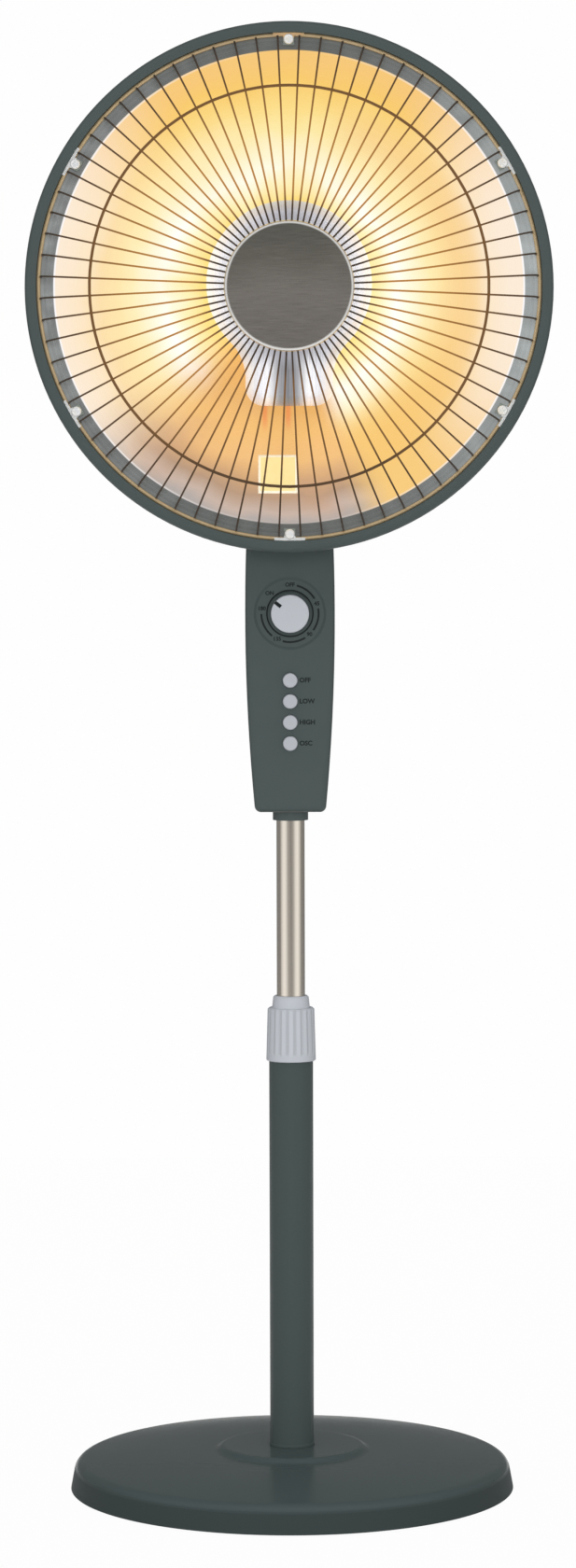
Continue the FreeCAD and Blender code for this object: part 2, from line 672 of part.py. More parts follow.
def mast_nodes():
    tube_bore = TUBE_RADIUS - TUBE_WALL
    tube = turned([(tube_bore, TUBE_BOTTOM + SEAT), (TUBE_RADIUS, TUBE_BOTTOM + SEAT),
                   (TUBE_RADIUS, COLLAR_BOTTOM - SEAT), (tube_bore, COLLAR_BOTTOM - SEAT)])
    bush_radius = POLE_BORE - 0.15
    bush = turned([(tube_bore - 3, BUSH_BOTTOM), (bush_radius, BUSH_BOTTOM),
                   (bush_radius, BUSH_BOTTOM + BUSH_HEIGHT), (TUBE_RADIUS + SEAT, BUSH_BOTTOM + BUSH_HEIGHT),
                   (TUBE_RADIUS + SEAT, TUBE_BOTTOM), (tube_bore - 3, TUBE_BOTTOM)])
    groove = SPINDLE_RADIUS - CLIP_GROOVE
    groove_top = SPINDLE_CLIP_Z + CLIP_THICKNESS
    stem = turned([
        (STEM_BORE, COLLAR_BOTTOM - STEM_PLUG), (tube_bore - SEAT, COLLAR_BOTTOM - STEM_PLUG),
        (tube_bore - SEAT, COLLAR_BOTTOM), (COLLAR_RADIUS, COLLAR_BOTTOM), (COLLAR_RADIUS, COLLAR_TOP),
        (SPINDLE_RADIUS, COLLAR_TOP), (SPINDLE_RADIUS, SPINDLE_CLIP_Z), (groove, SPINDLE_CLIP_Z),
        (groove, groove_top), (SPINDLE_RADIUS, groove_top), (SPINDLE_RADIUS, SPINDLE_TOP),
        (STEM_BORE, SPINDLE_TOP)])
    clip = turned([(groove + RUN, SPINDLE_CLIP_Z + RUN), (CLIP_RADIUS, SPINDLE_CLIP_Z + RUN),
                   (CLIP_RADIUS, groove_top - RUN), (groove + RUN, groove_top - RUN)])
    clip = clip.cut(block(vec(0, -CLIP_GAP / 2, SPINDLE_CLIP_Z), vec(FAR, CLIP_GAP / 2, groove_top)))

    ring_radius = SPINDLE_RADIUS + ARM_RING_WALL
    slot_half = CRANK_PIN_RADIUS + SLOT_SIDE
    slot_far = CRANK_OFFSET + CRANK_THROW
    slot_near = math.sqrt(CRANK_OFFSET ** 2 - CRANK_THROW ** 2) - SLOT_SIDE
    arm_half = slot_half + ARM_RIM
    arm = joined([
        rod(ring_radius, vec(0, 0, ARM_RING_BOTTOM), vec(0, 0, ARM_TOP)),
        block(vec(-arm_half, 0, ARM_BOTTOM), vec(arm_half, slot_far, ARM_TOP)),
        rod(arm_half, vec(0, slot_far, ARM_BOTTOM), vec(0, slot_far, ARM_TOP))])
    slot = joined([
        block(vec(-slot_half, slot_near, ARM_RING_BOTTOM), vec(slot_half, slot_far, ARM_TOP + 1)),
        rod(slot_half, vec(0, slot_near, ARM_BOTTOM - 1), vec(0, slot_near, ARM_TOP + 1)),
        rod(slot_half, vec(0, slot_far, ARM_BOTTOM - 1), vec(0, slot_far, ARM_TOP + 1))])
    slot = slot.cut(rod(FAR, vec(0, 0, ARM_BOTTOM - FAR), vec(0, 0, ARM_BOTTOM - 1)))
    spindle_hole = rod(SPINDLE_RADIUS + RUN, vec(0, 0, ARM_RING_BOTTOM - 1), vec(0, 0, SPINDLE_TOP + SEAT))
    arm = cut_all(arm, [slot, spindle_hole])
    return {"upper_tube": tube, "guide_bush": bush, "swivel_stem": stem, "spindle_clip": clip, "osc_arm": arm}


def drive_nodes():
    crank_centre = vec(0, CRANK_OFFSET, 0)
    pin_centre = crank_centre + AXIS_Y * CRANK_THROW
    disc_radius = CRANK_THROW + CRANK_DISC_RIM
    crank = joined([
        rod(disc_radius, crank_centre + AXIS_Z * CRANK_BOTTOM, crank_centre + AXIS_Z * CRANK_TOP),
        rod(CRANK_PIN_RADIUS, pin_centre + AXIS_Z * (ARM_BOTTOM + SEAT), pin_centre + AXIS_Z * CRANK_BOTTOM),
        rod(CRANK_SHAFT_RADIUS, crank_centre + AXIS_Z * CRANK_TOP,
            crank_centre + AXIS_Z * (CRANK_TOP + CRANK_SHAFT_LENGTH))])
    motor_top = MOTOR_BOTTOM + MOTOR_HEIGHT
    motor = joined([
        rod(MOTOR_RADIUS, crank_centre + AXIS_Z * MOTOR_BOTTOM, crank_centre + AXIS_Z * motor_top),
        rod(MOTOR_BOSS_RADIUS, crank_centre + AXIS_Z * SHELF_BOTTOM, crank_centre + AXIS_Z * MOTOR_BOTTOM),
        block(vec(-MOTOR_EAR_REACH, CRANK_OFFSET - MOTOR_EAR_WIDTH / 2, MOTOR_BOTTOM),
              vec(MOTOR_EAR_REACH, CRANK_OFFSET + MOTOR_EAR_WIDTH / 2, MOTOR_BOTTOM + MOTOR_EAR_THICKNESS))])
    shaft_hole = rod(CRANK_SHAFT_RADIUS + RUN, crank_centre + AXIS_Z * CRANK_TOP,
                     crank_centre + AXIS_Z * (CRANK_TOP + CRANK_SHAFT_LENGTH + 1))
    motor = cut_all(motor, [shaft_hole] + motor_screw_holes(SCREW_CLEARANCE))
    seat_height = MOTOR_BOTTOM + MOTOR_EAR_THICKNESS + SEAT
    screws = [screw(vec(side * MOTOR_SCREW_X, CRANK_OFFSET, seat_height), AXIS_Z, SHELF_THICKNESS + 1)
              for side in (-1, 1)]
    return {"osc_crank": crank, "osc_motor": motor, "motor_screws": Part.makeCompound(screws)}


def motor_screw_holes(radius):
    holes = []
    for side in (-1, 1):
        foot = vec(side * MOTOR_SCREW_X, CRANK_OFFSET, SHELF_BOTTOM - 1)
        holes.append(rod(radius, foot, foot + AXIS_Z * (MOTOR_HEIGHT / 2)))
    return holes


def pod_solid(inset, front, back, corner):
    """The control housing's front outline, drawn in by inset, between two depths."""
    half_bottom = POD_BOTTOM_WIDTH / 2 - inset
    half_widest = POD_WIDTH / 2 - inset
    half_top = POD_TOP_WIDTH / 2 - inset
    low = POD_BOTTOM + inset
    high = POD_TOP - inset
    face = Part.Face(outline([
        (-half_bottom, low), (half_bottom, low), ((half_widest, POD_WIDEST), (half_top, high)),
        (-half_top, high), ((-half_widest, POD_WIDEST), (-half_bottom, low))], in_xz))
    body = face.extrude(AXIS_Y * (back - front))
    body.translate(AXIS_Y * front)
    return body.makeFillet(corner, edges_along_y(body, lambda z: True))


def pod_half_width(z):
    """Half width of the housing at a height, on the arc through its three given widths."""
    side = Part.Arc(vec(POD_BOTTOM_WIDTH / 2, 0, POD_BOTTOM), vec(POD_WIDTH / 2, 0, POD_WIDEST),
                    vec(POD_TOP_WIDTH / 2, 0, POD_TOP)).toShape()
    level = Part.makeLine(vec(0, 0, z), vec(POD_WIDTH, 0, z))
    return side.distToShape(level)[1][0][0].x


def pod_screw_spots(y):
    spots = []
    for rise, inset in zip(POD_SCREW_RISES, POD_SCREW_INSETS):
        z = POD_BOTTOM + rise
        half = pod_half_width(z) - inset
        spots += [vec(-half, y, z), vec(half, y, z)]
    return spots


def fork_screw_spots(z):
    return [vec(0, y, z) for y in FORK_SCREW_Y]


def housing_nodes():
    outer = pod_solid(0, POD_FRONT, POD_BACK, POD_CORNER)
    outer = outer.makeFillet(POD_EDGE_ROUND, flat_edges(outer, POD_FRONT) + flat_edges(outer, POD_BACK))
    inner = pod_solid(POD_WALL, POD_INNER_FRONT, POD_INNER_BACK, POD_CORNER - POD_WALL)
    swivel_hole = rod(SPINDLE_RADIUS + SWIVEL_WALL + SEAT, vec(0, 0, POD_BOTTOM - 1), vec(0, 0, POD_FLOOR + 1))
    shell = outer.cut(inner).cut(swivel_hole)
    half_seam = POD_SEAM / 2

    front = shell.cut(block(vec(-FAR, -half_seam, 0), vec(FAR, FAR, 2 * FAR)))
    wall_middle = POD_FRONT + POD_FRONT_WALL / 2
    bosses = [rod(POD_SCREW_BOSS, vec(spot.x, wall_middle, spot.z), spot).common(outer)
              for spot in pod_screw_spots(-half_seam)]
    for height in BANK_SCREW_HEIGHTS:
        bosses.append(rod(BANK_POST_RADIUS, vec(0, wall_middle, height), vec(0, BANK_FRONT - SEAT, height)))
    front = joined([front] + bosses)
    face = POD_FRONT - 1
    dial = vec(0, POD_FRONT, KNOB_Z)
    tools = [Part.makeCone(DIAL_RADIUS, DIAL_RADIUS - 2 * DIAL_DEPTH, DIAL_DEPTH, dial, AXIS_Y),
             rod(POCKET_RADIUS, vec(0, face, KNOB_Z), dial + AXIS_Y * POCKET_DEPTH),
             rod(TIMER_SHAFT_RADIUS + 1, vec(0, face, KNOB_Z), vec(0, 0, KNOB_Z))]
    for height in BUTTON_HEIGHTS:
        tools.append(rod(BUTTON_RADIUS + 0.3, vec(0, face, height), vec(0, BUTTON_FLANGE_FRONT, height)))
    for spot in pod_screw_spots(0):
        tools.append(rod(SCREW_PILOT, spot - AXIS_Y * (POD_DEPTH / 4), spot))
    for height in BANK_SCREW_HEIGHTS:
        tools.append(rod(SCREW_PILOT, vec(0, BANK_FRONT - SCREW_LENGTH, height), vec(0, BANK_FRONT, height)))
    front = cut_all(front, tools)

    rear = shell.cut(block(vec(-FAR, -FAR, 0), vec(FAR, half_seam, 2 * FAR)))
    wall_middle = POD_BACK - POD_WALL / 2
    additions = [rod(POD_SCREW_BOSS, spot, vec(spot.x, wall_middle, spot.z)).common(outer)
                 for spot in pod_screw_spots(half_seam)]
    shelf_half = pod_half_width(SHELF_BOTTOM) - POD_WALL - FREE
    additions.append(block(vec(-shelf_half, -SHELF_FRONT, SHELF_BOTTOM), vec(shelf_half, wall_middle, SHELF_TOP)))
    for spot in fork_screw_spots(POD_TOP - FORK_SCREW_BOSS_DROP):
        boss = rod(POD_SCREW_BOSS, spot, vec(0, spot.y, POD_TOP - POD_WALL / 2))
        additions.append(boss.common(block(vec(-FAR, half_seam, 0), vec(FAR, FAR, 2 * FAR))))
    rear = joined([rear] + additions)
    tools = [rod(MOTOR_BOSS_RADIUS + FREE, vec(0, CRANK_OFFSET, SHELF_BOTTOM - 1),
                 vec(0, CRANK_OFFSET, SHELF_TOP + 1))]
    tools += motor_screw_holes(SCREW_PILOT)
    for spot in pod_screw_spots(0):
        behind = vec(spot.x, POD_BACK + 1, spot.z)
        tools.append(rod(SCREW_CLEARANCE, spot, behind))
        tools.append(rod(COUNTERBORE_RADIUS, vec(spot.x, POD_BACK - COUNTERBORE_DEPTH, spot.z), behind))
    for spot in fork_screw_spots(POD_TOP + 1):
        tools.append(rod(SCREW_PILOT, spot - AXIS_Z * (SCREW_LENGTH + 1), spot))
    tools.append(rod(GLAND_RADIUS + SEAT, vec(0, 0, POD_BOTTOM + GLAND_RISE), vec(0, FAR, POD_BOTTOM + GLAND_RISE)))
    for row in range(VENT_COUNT):
        low = POD_BOTTOM + VENT_RISE + VENT_PITCH * row
        tools.append(block(vec(-VENT_WIDTH / 2, POD_INNER_BACK - 1, low),
                           vec(VENT_WIDTH / 2, POD_BACK + 1, low + VENT_HEIGHT)))
    rear = cut_all(rear, tools)

    seat_y = POD_BACK - COUNTERBORE_DEPTH
    screws = [screw(spot, AXIS_Y, seat_y + SCREW_LENGTH) for spot in pod_screw_spots(seat_y)]
    sleeve = SPINDLE_RADIUS + SWIVEL_WALL
    bush = turned([
        (SPINDLE_RADIUS + RUN, COLLAR_TOP + SEAT), (sleeve, COLLAR_TOP + SEAT), (sleeve, POD_FLOOR + SEAT),
        (SWIVEL_FLANGE_RADIUS, POD_FLOOR + SEAT), (SWIVEL_FLANGE_RADIUS, SWIVEL_TOP),
        (SPINDLE_RADIUS + RUN, SWIVEL_TOP)])
    return {"housing_front": front, "housing_rear": rear, "housing_screws": Part.makeCompound(screws),
            "swivel_bush": bush}


def along_knob(points):
    """Solid turned about the knob's axis from an (r, y) outline."""
    solid = Part.Face(outline(points, in_xy)).revolve(ORIGIN, AXIS_Y, 360)
    solid.translate(vec(0, 0, KNOB_Z))
    return solid


def control_nodes():
    nodes = {}
    timer_front = POD_INNER_FRONT + SEAT
    half = TIMER_SIZE / 2
    timer = block(vec(-half, timer_front, KNOB_Z - half), vec(half, timer_front + TIMER_DEPTH, KNOB_Z + half))
    shaft_end = timer_front + TIMER_SHAFT_SINK
    nodes["timer_unit"] = timer.cut(rod(TIMER_SHAFT_RADIUS + RUN, vec(0, POD_FRONT, KNOB_Z),
                                        vec(0, shaft_end + FREE, KNOB_Z)))
    skirt_back = POD_FRONT + POCKET_DEPTH - FREE
    skirt_front = skirt_back - KNOB_SKIRT_HEIGHT
    cap_back = skirt_front - SEAT
    cap_front = cap_back - KNOB_CAP_HEIGHT
    boss_front = cap_front + KNOB_CAP_FACE + SEAT
    shaft_front = boss_front + SEAT
    nodes["timer_shaft"] = rod(TIMER_SHAFT_RADIUS, vec(0, shaft_front, KNOB_Z), vec(0, shaft_end, KNOB_Z))
    bore = TIMER_SHAFT_RADIUS + RUN
    nodes["knob_skirt"] = along_knob([
        (bore, skirt_back), (KNOB_SKIRT_RADIUS, skirt_back), (KNOB_SKIRT_RADIUS, skirt_front + 1),
        (KNOB_SKIRT_RADIUS - 1, skirt_front), (KNOB_BOSS_RADIUS, skirt_front), (KNOB_BOSS_RADIUS, boss_front),
        (bore, boss_front)])
    inside = KNOB_BOSS_RADIUS + SEAT
    rim_round = KNOB_CAP_RADIUS - KNOB_CAP_ROUND * (1 - math.sqrt(0.5))
    face_round = cap_front + KNOB_CAP_ROUND * (1 - math.sqrt(0.5))
    cap = along_knob([
        (inside, cap_back), (KNOB_CAP_RADIUS, cap_back), (KNOB_CAP_RADIUS, cap_front + KNOB_CAP_ROUND),
        ((rim_round, face_round), (KNOB_CAP_RADIUS - KNOB_CAP_ROUND, cap_front)), (0, cap_front),
        (0, cap_front + KNOB_CAP_FACE), (inside, cap_front + KNOB_CAP_FACE)])
    notch = block(vec(-KNOB_NOTCH_WIDTH / 2, cap_front - 1, KNOB_Z + KNOB_NOTCH_START),
                  vec(KNOB_NOTCH_WIDTH / 2, cap_front + KNOB_NOTCH_DEPTH, KNOB_Z + POCKET_RADIUS))
    notch.rotate(vec(0, 0, KNOB_Z), AXIS_Y, -KNOB_REST_ANGLE)
    nodes["knob_cap"] = cap.cut(notch)

    button_front = POD_FRONT - BUTTON_PROUD
    flange_back = BUTTON_FLANGE_FRONT + BUTTON_FLANGE
    turn = BUTTON_ROUND * (1 - math.sqrt(0.5))
    corner = ((BUTTON_RADIUS - turn, button_front + turn), (BUTTON_RADIUS - BUTTON_ROUND, button_front))
    for name, height in zip(BUTTON_NAMES, BUTTON_HEIGHTS):
        button = Part.Face(outline([
            (0, BUTTON_STEM_END), (BUTTON_STEM_RADIUS, BUTTON_STEM_END), (BUTTON_STEM_RADIUS, flange_back),
            (BUTTON_FLANGE_RADIUS, flange_back), (BUTTON_FLANGE_RADIUS, BUTTON_FLANGE_FRONT),
            (BUTTON_RADIUS, BUTTON_FLANGE_FRONT), (BUTTON_RADIUS, button_front + BUTTON_ROUND), corner,
            (0, button_front)], in_xy)).revolve(ORIGIN, AXIS_Y, 360)
        button.translate(vec(0, 0, height))
        nodes[name] = button

    half = BANK_WIDTH / 2
    ear_back = BANK_FRONT + BANK_EAR_THICKNESS
    bank = joined([
        block(vec(-half, BANK_FRONT, BANK_LOW), vec(half, BANK_FRONT + BANK_DEPTH, BANK_HIGH)),
        block(vec(-BANK_EAR / 2, BANK_FRONT, BANK_LOW - BANK_EAR), vec(BANK_EAR / 2, ear_back, BANK_HIGH + BANK_EAR))])
    holes = [rod(SCREW_CLEARANCE, vec(0, BANK_FRONT - 1, height), vec(0, ear_back + 1, height))
             for height in BANK_SCREW_HEIGHTS]
    nodes["switch_bank"] = cut_all(bank, holes)
    screws = [screw(vec(0, ear_back + SEAT, height), AXIS_Y, SCREW_LENGTH) for height in BANK_SCREW_HEIGHTS]
    nodes["switch_screws"] = Part.makeCompound(screws)

    back = POD_INNER_BACK - SEAT
    low = POD_BOTTOM + TERMINAL_RISE
    terminal = block(vec(-TERMINAL_WIDTH / 2, back - TERMINAL_DEPTH, low),
                     vec(TERMINAL_WIDTH / 2, back, low + TERMINAL_HEIGHT))
    pitch = TERMINAL_WIDTH / TERMINAL_WAYS
    holes = []
    for way in range(TERMINAL_WAYS):
        x = pitch * (way + 0.5) - TERMINAL_WIDTH / 2
        holes.append(rod(2.4, vec(x, back - TERMINAL_DEPTH - 1, low + TERMINAL_HEIGHT / 2),
                         vec(x, back - TERMINAL_DEPTH / 2, low + TERMINAL_HEIGHT / 2)))
    nodes["terminal_block"] = cut_all(terminal, holes)
    low = POD_TOP - TIP_DROP
    nodes["tip_switch"] = block(vec(-TIP_WIDTH / 2, back - TIP_DEPTH, low), vec(TIP_WIDTH / 2, back, low + TIP_HEIGHT))

    height = POD_BOTTOM + GLAND_RISE
    flange_y = POD_BACK + SEAT
    gland = Part.Face(outline([
        (GLAND_BORE, POD_INNER_BACK - GLAND_TAIL), (GLAND_RADIUS, POD_INNER_BACK - GLAND_TAIL),
        (GLAND_RADIUS, flange_y), (GLAND_FLANGE_RADIUS, flange_y), (GLAND_FLANGE_RADIUS, flange_y + GLAND_FLANGE),
        (GLAND_RADIUS, flange_y + GLAND_FLANGE), (GLAND_NOSE_RADIUS, flange_y + GLAND_FLANGE + GLAND_NOSE),
        (GLAND_BORE, flange_y + GLAND_FLANGE + GLAND_NOSE)], in_xy)).revolve(ORIGIN, AXIS_Y, 360)
    gland.translate(vec(0, 0, height))
    nodes["cord_gland"] = gland
    return nodes


def tilt_nodes():
    pivot = vec(0, PIVOT_Y, PIVOT_Z)
    ear_in = LUG_HALF + TILT_WASHER + 2 * SEAT
    ear_out = ear_in + FORK_EAR
    base_low = POD_TOP + SEAT
    pieces = [block(vec(-ear_out, PIVOT_Y - FORK_RADIUS, base_low),
                    vec(ear_out, PIVOT_Y + FORK_RADIUS, base_low + FORK_BASE))]
    for side in (-1, 1):
        near = min(side * ear_in, side * ear_out)
        far = max(side * ear_in, side * ear_out)
        pieces.append(block(vec(near, PIVOT_Y - FORK_RADIUS, base_low), vec(far, PIVOT_Y + FORK_RADIUS, PIVOT_Z)))
        pieces.append(rod(FORK_RADIUS, pivot + AXIS_X * near, pivot + AXIS_X * far))
    bolt_hole = rod(TILT_BOLT_RADIUS + RUN, pivot - AXIS_X * FAR, pivot + AXIS_X * FAR)
    holes = [rod(SCREW_CLEARANCE, spot, spot + AXIS_Z * (FORK_BASE + 2)) for spot in fork_screw_spots(POD_TOP - 1)]
    fork = cut_all(joined(pieces), holes + [bolt_hole])
    seat_height = base_low + FORK_BASE + SEAT
    fork_screws = [screw(spot, AXIS_Z, FORK_BASE + SCREW_LENGTH - 2) for spot in fork_screw_spots(seat_height)]

    head_face = -(ear_out + SEAT)
    bolt_end = ear_out + SEAT + TILT_NUT_HEIGHT + 1
    bolt = joined([
        rod(TILT_BOLT_RADIUS, pivot + AXIS_X * head_face, pivot + AXIS_X * bolt_end),
        rod(TILT_HEAD_RADIUS, pivot + AXIS_X * (head_face - TILT_HEAD_HEIGHT), pivot + AXIS_X * head_face)])
    nut_face = ear_out + SEAT
    nut = hexagon(TILT_NUT_FLATS, pivot + AXIS_X * nut_face, pivot + AXIS_X * (nut_face + TILT_NUT_HEIGHT))
    nut = nut.cut(rod(TILT_BOLT_RADIUS + SCREW_FIT, pivot, pivot + AXIS_X * FAR))
    washers = []
    for side in (-1, 1):
        start = pivot + AXIS_X * side * (LUG_HALF + SEAT)
        washer = rod(TILT_WASHER_RADIUS, start, start + AXIS_X * side * TILT_WASHER)
        washers.append(washer.cut(bolt_hole))

    lug_front = HEAD_BACK + SEAT
    lug_back = lug_front + LUG_THICKNESS
    lug_top = HEAD_Z - LUG_TOP_DROP
    plate_low = PIVOT_Z + FORK_RADIUS + LUG_FORK_GAP
    neck = block(vec(-LUG_HALF, lug_front, PIVOT_Z), vec(LUG_HALF, lug_back, plate_low + LUG_ROUND))
    plate = block(vec(-LUG_PLATE_HALF, lug_front, plate_low), vec(LUG_PLATE_HALF, lug_back, lug_top))
    plate = plate.makeFillet(LUG_ROUND, edges_along_y(plate, lambda z: True))
    knuckle = rod(LUG_RADIUS, pivot - AXIS_X * LUG_HALF, pivot + AXIS_X * LUG_HALF)
    lug = joined([plate, neck, knuckle])
    holes = [rod(SCREW_CLEARANCE, spot, spot + AXIS_Y * FAR) for spot in lug_screw_spots(0)]
    lug = cut_all(lug, holes + [bolt_hole])
    lug_screws = [screw(spot, AXIS_Y, LUG_THICKNESS + SCREW_LENGTH) for spot in lug_screw_spots(lug_back + SEAT)]
    return {"tilt_fork": fork, "fork_screws": Part.makeCompound(fork_screws), "tilt_bolt": bolt, "tilt_nut": nut,
            "tilt_washers": Part.makeCompound(washers), "tilt_lug": lug,
            "lug_screws": Part.makeCompound(lug_screws)}


def lug_screw_spots(y):
    return [vec(side * LUG_SCREW_X, y, HEAD_Z - drop) for side in (-1, 1) for drop in LUG_SCREW_DROPS]


def around_head(radius, y, half_step):
    """Points on a circle about the head's axis, starting at the top or half a step from it."""
    spots = []
    for number in range(HEAD_SCREWS):
        angle = math.radians(360.0 * (number + half_step) / HEAD_SCREWS)
        spots.append(vec(radius * math.sin(angle), y, HEAD_Z + radius * math.cos(angle)))
    return spots


def shell_nodes():
    corner = RING_ROUND * (1 - math.sqrt(0.5))
    ring = spun([
        (RING_OPENING, RING_FRONT), (HEAD_RADIUS - RING_ROUND, RING_FRONT),
        ((HEAD_RADIUS - corner, RING_FRONT + corner), (HEAD_RADIUS, RING_FRONT + RING_ROUND)),
        (HEAD_RADIUS, RING_BACK), (HEAD_RADIUS - RING_WALL, RING_BACK), (HEAD_RADIUS - RING_WALL, LEDGE_BACK),
        (LEDGE_INNER, LEDGE_BACK), (LEDGE_INNER, LEDGE_FRONT), (RING_OPENING, LEDGE_FRONT)])
    boss_end = COVER_RIM_FRONT - SEAT
    bosses = [rod(COVER_SCREW_BOSS, spot, vec(spot.x, boss_end, spot.z))
              for spot in around_head(COVER_SCREW_CIRCLE, LEDGE_BACK - 1, 0.5)]
    ring = joined([ring] + bosses)
    holes = [rod(SCREW_PILOT, vec(spot.x, boss_end - 1.5 * SCREW_LENGTH, spot.z), spot)
             for spot in around_head(COVER_SCREW_CIRCLE, boss_end + 1, 0.5)]
    holes += [rod(SCREW_PILOT, spot, vec(spot.x, LEDGE_BACK + 1, spot.z))
              for spot in around_head(CLIP_SCREW_CIRCLE, LEDGE_FRONT - 1, 0)]
    ring = cut_all(ring, holes)

    run = COVER_RIM_INNER - COVER_FLAT_RADIUS
    rise = HEAD_BACK - COVER_RIM_BACK
    length = math.hypot(run, rise)
    normal_r = rise / length
    normal_y = run / length
    middle_r = (COVER_RIM_INNER + COVER_FLAT_RADIUS) / 2 + COVER_BULGE * normal_r
    middle_y = (COVER_RIM_BACK + HEAD_BACK) / 2 + COVER_BULGE * normal_y
    inner_r = COVER_RIM_INNER - COVER_WALL
    inner_flat = COVER_FLAT_RADIUS - COVER_WALL / 2
    cover = spun([
        (0, HEAD_BACK), (COVER_FLAT_RADIUS, HEAD_BACK), ((middle_r, middle_y), (COVER_RIM_INNER, COVER_RIM_BACK)),
        (COVER_RIM_RADIUS, COVER_RIM_BACK), (COVER_RIM_RADIUS, COVER_RIM_FRONT), (inner_r, COVER_RIM_FRONT),
        ((middle_r - COVER_WALL * normal_r, middle_y - COVER_WALL * normal_y), (inner_flat, COVER_INSIDE)),
        (0, COVER_INSIDE)])
    lug_bosses = [rod(COVER_SCREW_BOSS, spot, vec(spot.x, HEAD_BACK - COVER_WALL / 2, spot.z))
                  for spot in lug_screw_spots(COVER_INSIDE - COVER_LUG_BOSS)]
    cover = joined([cover] + lug_bosses)
    slot = block(vec(-VENT_SLOT_WIDTH / 2, COVER_RIM_BACK, HEAD_Z + VENT_SLOT_START),
                 vec(VENT_SLOT_WIDTH / 2, HEAD_BACK + 1, HEAD_Z + VENT_SLOT_END))
    holes = spread(slot, VENT_SLOTS, HEAD_CENTRE, AXIS_Y, 180.0 / VENT_SLOTS)
    holes += [rod(SCREW_CLEARANCE, spot, vec(spot.x, COVER_RIM_BACK + 1, spot.z))
              for spot in around_head(COVER_SCREW_CIRCLE, COVER_RIM_FRONT - 1, 0.5)]
    holes += [rod(SCREW_PILOT, spot, vec(spot.x, HEAD_BACK + 1, spot.z))
              for spot in lug_screw_spots(COVER_INSIDE - COVER_LUG_BOSS - 1)]
    cover = cut_all(cover, holes)
    screws = [screw(spot, AXIS_Y, SCREW_LENGTH + COVER_WALL)
              for spot in around_head(COVER_SCREW_CIRCLE, COVER_RIM_BACK + SEAT, 0.5)]
    return {"front_ring": ring, "rear_cover": cover, "cover_screws": Part.makeCompound(screws)}


def dish_depth_at(radius):
    """Distance of the reflector in front of its vertex, on its curve."""
    share = max(0.0, radius - DISH_FLAT_RADIUS) / (DISH_RADIUS - DISH_FLAT_RADIUS)
    return DISH_DEPTH * share ** 2


def dish_curve(offset):
    points = []
    for number in range(DISH_POINTS):
        radius = DISH_FLAT_RADIUS + (DISH_RADIUS - DISH_FLAT_RADIUS) * number / (DISH_POINTS - 1)
        points.append(vec(radius, DISH_VERTEX - dish_depth_at(radius) + offset, 0))
    curve = Part.BSplineCurve()
    slope = 2 * DISH_DEPTH / (DISH_RADIUS - DISH_FLAT_RADIUS)
    curve.interpolate(points, InitialTangent=vec(1, 0, 0), FinalTangent=vec(1, -slope, 0))
    return curve.toShape()


def reflector_node():
    front = dish_curve(0)
    back = dish_curve(SHEET)
    corners = [vec(DISH_FLAT_RADIUS, DISH_VERTEX, 0), vec(POST_STUD_RADIUS + 0.3, DISH_VERTEX, 0),
               vec(POST_STUD_RADIUS + 0.3, DISH_VERTEX + SHEET, 0), vec(DISH_FLAT_RADIUS, DISH_VERTEX + SHEET, 0)]
    rim = [vec(DISH_RADIUS, FLANGE_FRONT, 0), vec(FLANGE_RADIUS, FLANGE_FRONT, 0),
           vec(FLANGE_RADIUS, FLANGE_FRONT + SHEET, 0), vec(DISH_RADIUS, FLANGE_FRONT + SHEET, 0)]
    edges = [front, back]
    for points in (corners, rim):
        edges += [Part.makeLine(a, b) for a, b in zip(points, points[1:])]
    wire = Part.Wire(Part.sortEdges(edges)[0])
    dish = Part.Face(wire).revolve(ORIGIN, AXIS_Y, 360)
    dish.translate(HEAD_CENTRE)
    holes = [rod(SCREW_CLEARANCE, spot, vec(spot.x, LEDGE_FRONT, spot.z))
             for spot in around_head(CLIP_SCREW_CIRCLE, FLANGE_FRONT - 1, 0)]
    return {"reflector": cut_all(dish, holes)}


def bent_wire(start, corner, end, radius):
    """Path from start to end with one rounded corner."""
    to_start = (start - corner).normalize()
    to_end = (end - corner).normalize()
    half = to_start.getAngle(to_end) / 2
    reach = radius / math.tan(half)
    middle_way = (to_start + to_end).normalize()
    first = corner + to_start * reach
    last = corner + to_end * reach
    middle = corner + middle_way * (radius / math.sin(half) - radius)
    return Part.Wire([Part.makeLine(start, first), Part.Arc(first, middle, last).toShape(),
                      Part.makeLine(last, end)])


def swept(path, radius):
    """Round bar along a path."""
    first = path.Edges[0]
    along = first.tangentAt(first.FirstParameter)
    section = Part.Wire([Part.makeCircle(radius, first.valueAt(first.FirstParameter), along)])
    return path.makePipeShell([section], True, True)


def spoke_y(radius):
    share = (radius - SPOKE_START) / (SPOKE_END_RADIUS - SPOKE_START)
    return GRILLE_HUB_Y + GRILLE_CROWN * share


def head_ring(radius, wire, y):
    return Part.makeTorus(radius, wire, vec(0, y, HEAD_Z), AXIS_Y)


